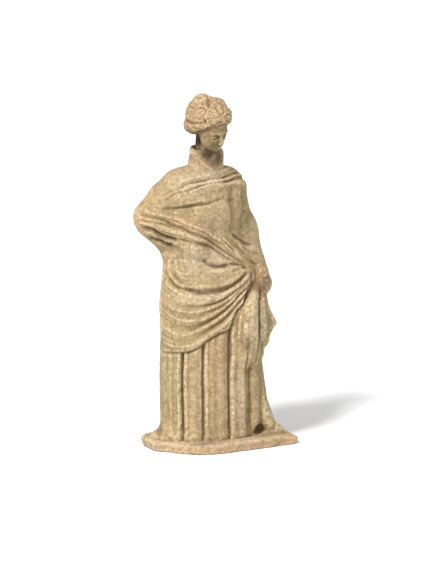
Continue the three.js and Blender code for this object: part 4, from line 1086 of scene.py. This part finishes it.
# One shell
# Head, collar, hand, folds and foot are luted to the body and smoothed over, so that all is one skin,
# with no slivers along the seams and no pocket shut in between the folds.
SEAM = 2e-6  # metres, narrower than which a sliver is closed
luted = [head, collar, wrap, foot, *held, hollow]
for part in luted:
    join = woman.modifiers.new(part.name, "BOOLEAN")
    join.operation = "DIFFERENCE" if part is hollow else "UNION"
    join.solver = "MANIFOLD"
    join.object = part
shell = bpy.data.meshes.new_from_object(woman.evaluated_get(bpy.context.evaluated_depsgraph_get()))
bm = bmesh.new()
bm.from_mesh(shell)
bmesh.ops.triangulate(bm, faces=[f for f in bm.faces if len(f.verts) > 4])
bmesh.ops.remove_doubles(bm, verts=bm.verts, dist=SEAM)
bmesh.ops.dissolve_degenerate(bm, edges=bm.edges, dist=SEAM)
for _ in range(3):  # a point on a mere flap leaves another behind it
    bmesh.ops.dissolve_verts(bm, verts=[v for v in bm.verts if len(v.link_edges) == 2])
outside, front = set(), {max(bm.verts, key=lambda v: v.co.z)}
while front:
    outside |= front
    front = {e.other_vert(v) for v in front for e in v.link_edges} - outside
bmesh.ops.delete(bm, geom=[v for v in bm.verts if v not in outside], context="VERTS")
bm.to_mesh(shell)
bm.free()
woman.modifiers.clear()
woman.data = shell
for part in luted:
    bpy.data.objects.remove(part)


# The worn surface
# Fired clay, pitted and rubbed. Its hollows get painted shade with some soil, and its crests are bare
# and pale with a painted highlight, so each point of the skin knows how deep it lies among its
# neighbours and how much of the sky it sees.
UNEVEN_DEPTH = 0.00016
ROUGHNESS_DEPTH = 0.00010
PIT_DEPTH = 0.00010
UNEVEN_SCALE = 210
ROUGHNESS_SCALE = 420
PIT_SCALE = 900
HOLLOWS = [("hollow_fine", 4, 0.00012), ("hollow_wide", 60, 0.0009)]  # rounds, and the deepest in metres
SKY_RAYS = 10
SKY_REACH = 0.015
SKIN_LIFT = 0.00006
GOLDEN_ANGLE = 2.399963  # from ray to ray
POINT_ANGLE = 1.3  # from point to point
CREASED = (0.35, 0.7)  # how much the skin turns at a seam that is rubbed down


def arrays(mesh):
    points = np.empty(len(mesh.vertices) * 3)
    mesh.vertices.foreach_get("co", points)
    normals = np.empty(len(mesh.vertices) * 3)
    mesh.vertices.foreach_get("normal", normals)
    edges = np.empty(len(mesh.edges) * 2, int)
    mesh.edges.foreach_get("vertices", edges)
    return points.reshape(-1, 3), normals.reshape(-1, 3), edges.reshape(-1, 2)


def evened(values, edges, rounds):
    """Values averaged with their neighbours' along the edges."""
    count = np.bincount(edges.ravel(), minlength=len(values))[:, None]
    for _ in range(rounds):
        total = np.zeros_like(values)
        for column in range(values.shape[1]):
            a, b = values[edges[:, 0], column], values[edges[:, 1], column]
            total[:, column] = np.bincount(edges[:, 0], b, len(values))
            total[:, column] += np.bincount(edges[:, 1], a, len(values))
        values = 0.5 * values + 0.5 * total / np.maximum(count, 1)
    return values


def note(mesh, name, values):
    """Writes a value for each point, from 0 to 1."""
    layer = mesh.attributes.new(name, "FLOAT", "POINT")
    layer.data.foreach_set("value", np.clip(values, 0, 1))


def note_hollows(piece):
    """Writes how hollow the skin is, closely and widely, and how open to the sky."""
    mesh = piece.data
    points, normals, edges = arrays(mesh)
    for name, rounds, deepest in HOLLOWS:
        depth = ((evened(points, edges, rounds) - points) * normals).sum(1) / deepest
        note(mesh, name, np.clip(depth, -1, 1) * 0.5 + 0.5)
    tree = BVHTree.FromPolygons([v.co for v in mesh.vertices], [p.vertices[:] for p in mesh.polygons])
    side = np.cross(normals, np.where(np.abs(normals[:, 2:]) < 0.8, [[0, 0, 1]], [[1, 0, 0]]))
    side /= np.linalg.norm(side, axis=1)[:, None]
    other = np.cross(normals, side)
    open_sky = np.zeros(len(points))
    starts = [Vector(p) for p in points + normals * SKIN_LIFT]
    for i in range(SKY_RAYS):
        lean = math.sqrt((i + 0.5) / SKY_RAYS)
        swung = i * GOLDEN_ANGLE + np.arange(len(points)) * POINT_ANGLE
        flat = np.cos(swung)[:, None] * side + np.sin(swung)[:, None] * other
        rays = lean * flat + math.sqrt(1 - lean * lean) * normals
        for k, (start, ray) in enumerate(zip(starts, rays)):
            if tree.ray_cast(start, ray, SKY_REACH)[0] is None:
                open_sky[k] += 1 / SKY_RAYS
    note(mesh, "open_sky", evened(open_sky[:, None], edges, 3)[:, 0])


def weather(piece):
    """Roughens a piece's skin."""
    mesh = piece.data
    points, normals, _ = arrays(mesh)
    uneven = np.array([noise.noise(Vector(p) * UNEVEN_SCALE) for p in points])
    rough = np.array([noise.fractal(Vector(p) * ROUGHNESS_SCALE, 0.8, 2.1, 3) for p in points])
    pits = np.array([noise.noise(Vector(p) * PIT_SCALE) for p in points])
    lift = UNEVEN_DEPTH * uneven + ROUGHNESS_DEPTH * rough - PIT_DEPTH * ramp(pits, 0.3, 0.6)
    points += normals * lift[:, None]
    mesh.vertices.foreach_set("co", points.ravel())
    mesh.update()


def spotted(points, spots):
    """How near points are to spots, which have a middle, radii and a strength."""
    points = (points - (0, 0, PLAQUE_TOP)) / MM
    amount = np.zeros(len(points))
    for middle, radii, most in spots:
        amount = np.maximum(amount, most * np.exp(-(((points - middle) / radii) ** 2).sum(1)))
    return amount


def stain(piece, name, spots):
    """Writes where a colour lies on a piece."""
    points, _, _ = arrays(piece.data)
    note(piece.data, name, spotted(points, spots))


def smooth_joints(piece, spots, rounds=12):
    """Rubs down the sharp creases where parts were luted on."""
    mesh = piece.data
    points, normals, edges = arrays(mesh)
    bend = np.linalg.norm(normals[edges[:, 0]] - normals[edges[:, 1]], axis=1)
    crease = np.zeros(len(points))
    np.maximum.at(crease, edges[:, 0], bend)
    np.maximum.at(crease, edges[:, 1], bend)
    rubbed = np.clip(3 * evened(ramp(crease, *CREASED)[:, None], edges, 5), 0, 1)
    rubbed *= ramp(spotted(points, spots), 0.2, 0.5)[:, None]
    for _ in range(rounds):
        points = mix(points, evened(points, edges, 1), rubbed)
    mesh.vertices.foreach_set("co", points.ravel())
    mesh.update()


smooth_joints(woman, [
    ((23, -5, 84), (14, 18, 16), 1),
    ((20, -8, 62), (16, 16, 24), 1),
    ((-8, -2, 151), (18, 16, 5), 1),
    ((27, -10, 10), (16, 14, 16), 1),
])
note_hollows(woman)
weather(woman)
stain(woman, "blush", [
    ((20.5, -11, 86), (8, 9, 8), 1.3),
    ((-12.4, -3.6, 157), (8, 9, 6), 1.1),
    ((-8.4, -12, 40), (8, 12, 30), 0.7),
    ((-43, 10, 124), (6, 6, 6), 1),
    ((-24, -9, 121), (8, 8, 6), 1),
    ((-9, 0, 182), (16, 16, 13), 1.3),
])
# Pale patches of the clay, and painted light that brightens faces turned from the lamp: the left of the
# chest, the narrow fold and the flap under the hand, the broad fold and the flutes of the dress.
stain(woman, "bloom", [
    ((-14, -6, 146), (16, 14, 9), 1),
    ((-24, -12, 104), (10, 10, 9), 1),
    ((-10, -16, 100), (10, 10, 8), 1),
    ((-20, -14, 82), (22, 10, 4), 1),
    ((-6.5, -10.1, 134), (9, 8, 8), 0.6),
    ((6, -15, 28), (4, 6, 26), 0.6),
    ((-12, -8, 122), (9, 8, 9), 0.7),
    ((22, -2, 108), (8, 8, 12), 0.4),
    ((17.9, -15.5, 66), (3, 5, 10), 0.8),
    ((26, -10.5, 64), (4, 5, 8), 0.9),
    ((17.5, -16, 62), (4, 5, 12), 1.2),
    ((-6, -14, 30), (4, 6, 20), 0.4),
])
stain(woman, "moss", [
    ((-25, -9, 132), (8, 8, 4), 1),
    ((17, -14, 40), (6, 8, 34), 1),
    ((12, -5, 130), (6, 8, 14), 1),
    ((-34, -2, 40), (8, 12, 30), 1),
    ((22, -8, 12), (8, 8, 5), 1),
    ((-4.8, -8.6, 171), (8, 6, 9), 1),
])
# Painted shade: the neck, chin, face and hair where the bun and the chin shade them, under the forearm and
# elbow, between the arm and the chest, by the hand, the broad fold and the hem, and in the hollow by the
# foot.
stain(woman, "painted_shade", [
    ((-11.5, 3, 167), (5, 6, 5), 1.1),
    ((-9.6, -5.4, 160.5), (5, 5, 4.5), 1.05),
    ((-5, -7.5, 158), (7, 4.5, 5.5), 0.85),
    ((-7.8, -8, 164.5), (5, 5, 3), 0.5),
    ((-10, 0, 153), (12, 12, 3), 0.25),
    ((-15.5, -2.4, 159), (6, 6, 5), 0.2),
    ((20.5, -11, 86), (7, 8, 6), 0.55),
    ((-5, -8, 170), (9, 6, 8), 0.42),
    ((-9, 2, 174), (14, 14, 6), 0.42),
    ((-8, 0, 186), (16, 16, 12), 0.1),
    ((18.5, -13.3, 3.4), (4, 5, 2.6), 0.9),
    ((-25, 2, 110), (9, 10, 3), 0.8),
    ((-34, 4, 113), (8, 10, 5), 0.4),
    ((8, -18, 54), (3.5, 5, 5), 0.5),
    ((15.7, -15.2, 60), (1.6, 5, 12), 0.4),
    ((1.5, -10.5, 135), (3, 4, 10), 0.4),
    ((15.8, -12.9, 24), (3, 6, 16), 0.15),
])
woman.data.shade_smooth()


AMOUNTS = {  # what the group reads, and the layer of the mesh that holds it
    # Of these, the hollows and open sky give painted shade with some soil, the pale patches are partly
    # painted light, and the last is painted shade.
    "Fine hollow": "hollow_fine",
    "Wide hollow": "hollow_wide",
    "Open sky": "open_sky",
    "Blush amount": "blush",
    "Bloom amount": "bloom",
    "Moss amount": "moss",
    "Dirt amount": "painted_shade",
}


def node(tree, kind, **settings):
    made = tree.nodes.new(kind)
    for key, value in settings.items():
        setattr(made, key, value)
    return made


def clay_group():
    """Fired clay: patches of two colours, painted shade with some soil in the hollows, the deepest
    painted shade, pale crests with a painted highlight, pale patches with painted light, grain and pits.
    """
    group = bpy.data.node_groups.new("fired_clay", "ShaderNodeTree")
    for name in ["Clay", "Second clay", "Earth", "Soot", "Pale", "Blush", "Bloom", "Moss"]:
        group.interface.new_socket(name, in_out="INPUT", socket_type="NodeSocketColor")
    for name in AMOUNTS:
        group.interface.new_socket(name, in_out="INPUT", socket_type="NodeSocketFloat")
    for name, kind in [("Colour", "Color"), ("Roughness", "Float"), ("Height", "Float")]:
        group.interface.new_socket(name, in_out="OUTPUT", socket_type="NodeSocket" + kind)
    link = group.links.new
    given = node(group, "NodeGroupInput").outputs
    result = node(group, "NodeGroupOutput").inputs
    place = node(group, "ShaderNodeTexCoord").outputs["Object"]

    def feed(socket, value):
        """Sets an input to a number, or links it to what another node gives."""
        if isinstance(value, float):
            socket.default_value = value
        else:
            link(value, socket)

    def cloud(scale, detail, roughness, low, high, to_low=0.0, to_high=1.0):
        """Soft noise, stretched from a low and a high mark to two values."""
        texture = node(group, "ShaderNodeTexNoise")
        texture.inputs["Scale"].default_value = scale
        texture.inputs["Detail"].default_value = detail
        texture.inputs["Roughness"].default_value = roughness
        link(place, texture.inputs["Vector"])
        return scaled(texture.outputs["Fac"], low, high, to_low, to_high)

    def blend(first, second, factor, kind="MIX"):
        mixer = node(group, "ShaderNodeMix", data_type="RGBA", blend_type=kind)
        for socket, value in [(0, factor), (6, first), (7, second)]:
            feed(mixer.inputs[socket], value)
        return mixer.outputs[2]

    def scaled(value, low, high, to_low, to_high):
        band = node(group, "ShaderNodeMapRange", interpolation_type="SMOOTHSTEP")
        marks = {"From Min": low, "From Max": high, "To Min": to_low, "To Max": to_high}
        for key, number in marks.items():
            band.inputs[key].default_value = number
        link(value, band.inputs["Value"])
        return band.outputs["Result"]

    def product(a, b):
        maths = node(group, "ShaderNodeMath", operation="MULTIPLY")
        feed(maths.inputs[0], a)
        feed(maths.inputs[1], b)
        return maths.outputs[0]

    def darkened(colour, amount):
        grey = node(group, "ShaderNodeCombineColor")
        for socket in range(3):
            link(amount, grey.inputs[socket])
        return blend(colour, grey.outputs[0], 1.0, "MULTIPLY")

    colour = blend(given["Clay"], given["Second clay"], cloud(110.0, 3.0, 0.6, 0.4, 0.62))
    # Blush and moss are tints of the clay; the pale patches are partly the clay's and partly painted light.
    for name, scale in [("Blush", 260.0), ("Bloom", 330.0), ("Moss", 300.0)]:
        amount = product(given[name + " amount"], cloud(scale, 3.0, 0.65, 0.3, 0.62, 0.1, 0.85))
        colour = blend(colour, given[name], amount)
    everywhere = product(cloud(150.0, 4.0, 0.6, 0.52, 0.72), 0.5)
    colour = blend(colour, given["Moss"], everywhere)
    flecks = product(cloud(800.0, 2.0, 0.6, 0.56, 0.7), cloud(200.0, 2.0, 0.5, 0.45, 0.62, 0.1, 0.8))
    colour = blend(colour, given["Pale"], flecks)
    # Pale crests, partly rubbed bare and partly a painted highlight.
    crests = product(scaled(given["Fine hollow"], 0.5, 0.2, 0.0, 0.8), cloud(500.0, 3.0, 0.6, 0.3, 0.6))
    colour = blend(colour, given["Pale"], crests)
    # Painted shade with some soil, in wide and fine hollows and where the skin sees little of the sky.
    colour = blend(colour, given["Earth"], scaled(given["Wide hollow"], 0.53, 0.85, 0.0, 0.42))
    colour = blend(colour, given["Earth"], scaled(given["Fine hollow"], 0.6, 0.95, 0.0, 0.42))
    colour = blend(colour, given["Earth"], scaled(given["Open sky"], 0.68, 0.12, 0.0, 0.6))
    # Painted shade in the spots given for each piece.
    painted_shade = product(given["Dirt amount"], cloud(240.0, 3.0, 0.6, 0.3, 0.6, 0.8, 1.0))
    colour = blend(colour, given["Earth"], painted_shade)
    # The deepest painted shade, where the painted shade is strongest.
    colour = blend(colour, given["Soot"], product(painted_shade, painted_shade))
    specks = product(cloud(800.0, 2.0, 0.5, 0.58, 0.74), cloud(120.0, 2.0, 0.5, 0.38, 0.58, 0.15, 0.6))
    colour = blend(colour, given["Earth"], specks)
    colour = darkened(colour, cloud(560.0, 4.0, 0.7, 0.32, 0.68, 0.74, 1.2))
    colour = darkened(colour, cloud(1500.0, 3.0, 0.7, 0.3, 0.7, 0.8, 1.16))
    link(colour, result["Colour"])
    link(cloud(110.0, 3.0, 0.6, 0.4, 0.62, 0.86, 0.97), result["Roughness"])
    link(cloud(1300.0, 4.0, 0.7, 0.3, 0.7), result["Height"])
    return group


fired_clay = clay_group()
BUMP_STRENGTH = 0.6
BUMP_DEPTH = 0.0002
CLAY_SHEEN = 0.25


def clay_material(name, **colours):
    """Fired clay in those colours, with the piece's own hollows and stains, which carry painted shade and
    light.
    """
    material = bpy.data.materials.new(name)
    material.use_nodes = True
    tree = material.node_tree
    shader = tree.nodes["Principled BSDF"]
    surface = node(tree, "ShaderNodeGroup", node_tree=fired_clay)
    for socket, colour in colours.items():
        surface.inputs[socket.capitalize().replace("_", " ")].default_value = (*colour, 1)
    for socket, layer in AMOUNTS.items():
        amount = node(tree, "ShaderNodeAttribute", attribute_name=layer)
        tree.links.new(amount.outputs["Fac"], surface.inputs[socket])
    tree.links.new(surface.outputs["Colour"], shader.inputs["Base Color"])
    tree.links.new(surface.outputs["Roughness"], shader.inputs["Roughness"])
    bump = node(tree, "ShaderNodeBump")
    bump.inputs["Strength"].default_value = BUMP_STRENGTH
    bump.inputs["Distance"].default_value = BUMP_DEPTH
    tree.links.new(surface.outputs["Height"], bump.inputs["Height"])
    tree.links.new(bump.outputs["Normal"], shader.inputs["Normal"])
    shader.inputs["Specular IOR Level"].default_value = CLAY_SHEEN
    return material


pale_clay = clay_material(
    "pale_terracotta",
    clay=(0.44, 0.315, 0.165),
    second_clay=(0.36, 0.25, 0.125),
    # Soil with painted shade for the hollows, then the deepest painted shade:
    earth=(0.10, 0.06, 0.026),
    soot=(0.045, 0.028, 0.013),
    pale=(0.64, 0.51, 0.32),
    # Pale patches, also used as painted light:
    blush=(0.43, 0.235, 0.125),
    bloom=(0.60, 0.49, 0.34),
    moss=(0.26, 0.215, 0.10),
)
woman.data.materials.clear()
woman.data.materials.append(pale_clay)
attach(woman, "root")
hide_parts("draped_woman")


# The plaque
# A slab cut by hand from rolled clay, with worn edges, more orange than the figure. Its ends run out to
# blunt tips, and a corner in front is knocked in. These sizes are millimetres, from its underside.
PLAQUE_GRAIN = 0.0006
PLAQUE_THICKNESS = PLAQUE_TOP / MM
RIGHT_END = (28, 41)  # how far across her right end starts to run out, and where it is all there
RIGHT_END_OUT = 4.8
RIGHT_END_FORWARD = 1.8
RIGHT_END_LIFTED = (36, 41, 1.4)  # and its underside is lifted from here to there, by that much
LEFT_END = (33, 42)
LEFT_END_OUT = 2.2
LEFT_END_WORN = (0.6, 0.9)  # inwards, and down from the top
CORNER = (-20, -22.5)
CORNER_REACH = 5
CORNER_KNOCK = (0.5, 0.9)
EDGE_WANDER = (0.7, 0.35)  # of the clay by hand, level and upright
EDGE_WANDER_SCALE = 0.11
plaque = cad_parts["base_plaque"].copy()
plaque.data = plaque.data.copy()
plaque.name = "terracotta_plaque"
bpy.context.scene.collection.objects.link(plaque)
bm = bmesh.new()
bm.from_mesh(plaque.data)
bmesh.ops.remove_doubles(bm, verts=bm.verts, dist=1e-6)
bm.to_mesh(plaque.data)
bm.free()
grain = plaque.modifiers.new("grain", "REMESH")
grain.mode = "VOXEL"
grain.voxel_size = PLAQUE_GRAIN
plaque.parent = None
for key in list(plaque.keys()):
    del plaque[key]
slab = bpy.data.meshes.new_from_object(plaque.evaluated_get(bpy.context.evaluated_depsgraph_get()))
plaque.modifiers.clear()
plaque.data = slab
points, _, _ = arrays(plaque.data)
points /= MM
across = math.cos(SEEN_FROM) * points[:, 0] + math.sin(SEEN_FROM) * points[:, 1]
height = points[:, 2].copy()
level = height / PLAQUE_THICKNESS
bulge = 1 - (2 * level - 1) ** 2
right_end, left_end = ramp(-across, *RIGHT_END), ramp(across, *LEFT_END)
lift_from, lift_to, lifted = RIGHT_END_LIFTED
worn_in, worn_down = LEFT_END_WORN
points[:, 0] += (LEFT_END_OUT * bulge - worn_in) * left_end - RIGHT_END_OUT * right_end
points[:, 1] -= RIGHT_END_FORWARD * right_end
points[:, 2] += lifted * ramp(-across, lift_from, lift_to) * (1 - level) - worn_down * left_end * level
corner = np.exp(-(((points[:, :2] - CORNER) / CORNER_REACH) ** 2).sum(1))
points[:, :2] += corner[:, None] * CORNER_KNOCK
wander = np.array([stirred(Vector(p) * EDGE_WANDER_SCALE) for p in points])
points[:, :2] += EDGE_WANDER[0] * wander[:, :2] * ramp(height, 0, 1.5)[:, None]
points[:, 2] += EDGE_WANDER[1] * wander[:, 2] * ramp(height, 0.5, 4)
plaque.data.vertices.foreach_set("co", (points * MM).ravel())
plaque.data.update()
note_hollows(plaque)
weather(plaque)
stain(plaque, "blush", [((10, -16, -3), (30, 12, 6), 1)])
# Paler over the top of the plaque.
stain(plaque, "bloom", [((-10, -14, 0.2), (36, 16, 1.6), 1.2)])
stain(plaque, "moss", [((-44, 2, -2), (8, 12, 6), 1)])
# Painted shade on the plaque's top, along the foot of the dress and before her foot.
stain(plaque, "painted_shade", [((25, -14, 0), (12, 5, 2), 0.5), ((-20, -18, 0), (16, 5, 1.5), 0.5)])
plaque.data.shade_smooth()
orange_clay = clay_material(
    "orange_terracotta",
    clay=(0.51, 0.33, 0.165),
    second_clay=(0.44, 0.30, 0.16),
    # Soil with painted shade for the hollows, then the deepest painted shade:
    earth=(0.17, 0.105, 0.055),
    soot=(0.045, 0.028, 0.013),
    pale=(0.62, 0.47, 0.31),
    blush=(0.46, 0.28, 0.175),
    # Pale patches, also used as painted light:
    bloom=(0.60, 0.49, 0.33),
    moss=(0.32, 0.28, 0.20),
)
plaque.data.materials.clear()
plaque.data.materials.append(orange_clay)
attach(plaque, "root")
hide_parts("base_plaque")


# The floor, the light and the camera
# A plain white floor under soft studio light from the upper left, seen from a distance through a long
# lens, a little from above and from her right.
FLOOR_SIZE = 40
CAMERA_AZIMUTH = SEEN_FROM
CAMERA_ELEVATION = math.radians(12.5)
CAMERA_DISTANCE = 6
PIXELS_PER_METRE = 1800  # of the photograph, at the figure
IMAGE_SIZE = (432, 566)
ORIGIN_PIXEL = (219.6, 443.3)  # where the plaque's underside has its middle
SENSOR = 36
FLOOR_WHITE = (0.9, 0.9, 0.9, 1)
SKY_STRENGTH = 0.7
KEY_STRENGTH = 3.2
KEY_WIDTH = math.radians(12)
KEY_SIDE = 0.7  # how far to the left of the camera, for each unit towards it
KEY_HEIGHT = 1.42

bm = bmesh.new()
bmesh.ops.create_grid(bm, x_segments=1, y_segments=1, size=FLOOR_SIZE / 2)
floor_mesh = bpy.data.meshes.new("floor")
bm.to_mesh(floor_mesh)
bm.free()
floor = bpy.data.objects.new("floor", floor_mesh)
bpy.context.scene.collection.objects.link(floor)
white = bpy.data.materials.new("white_floor")
white.use_nodes = True
matt = white.node_tree.nodes["Principled BSDF"].inputs
matt["Base Color"].default_value = FLOOR_WHITE
matt["Roughness"].default_value = 1
matt["Specular IOR Level"].default_value = 0
floor.data.materials.append(white)

back = Vector(aimed(CAMERA_AZIMUTH, CAMERA_ELEVATION)[0])
right = Vector((math.cos(CAMERA_AZIMUTH), math.sin(CAMERA_AZIMUTH), 0))
upwards = back.cross(right)
aim = right * (IMAGE_SIZE[0] / 2 - ORIGIN_PIXEL[0]) / PIXELS_PER_METRE
aim += upwards * (ORIGIN_PIXEL[1] - IMAGE_SIZE[1] / 2) / PIXELS_PER_METRE
camera = bpy.data.objects.new("camera", bpy.data.cameras.new("camera"))
bpy.context.scene.collection.objects.link(camera)
camera.data.sensor_width = SENSOR
camera.data.lens = SENSOR * CAMERA_DISTANCE * PIXELS_PER_METRE / IMAGE_SIZE[1]
camera.location = aim + back * CAMERA_DISTANCE
camera.rotation_mode = "QUATERNION"
camera.rotation_quaternion = (-back).to_track_quat("-Z", "Y")
bpy.context.scene.camera = camera

world = bpy.data.worlds.new("studio")
world.use_nodes = True
world.node_tree.nodes["Background"].inputs["Color"].default_value = (1, 1, 1, 1)
world.node_tree.nodes["Background"].inputs["Strength"].default_value = SKY_STRENGTH
bpy.context.scene.world = world
key = bpy.data.lights.new("key", "SUN")
key.energy = KEY_STRENGTH
key.angle = KEY_WIDTH
lamp = bpy.data.objects.new("key", key)
bpy.context.scene.collection.objects.link(lamp)
towards = Vector((back.x, back.y, 0)).normalized() - right * KEY_SIDE
towards.z = KEY_HEIGHT
lamp.rotation_mode = "QUATERNION"
lamp.rotation_quaternion = (-towards).to_track_quat("-Z", "Y")
bpy.context.scene.view_settings.view_transform = "Standard"
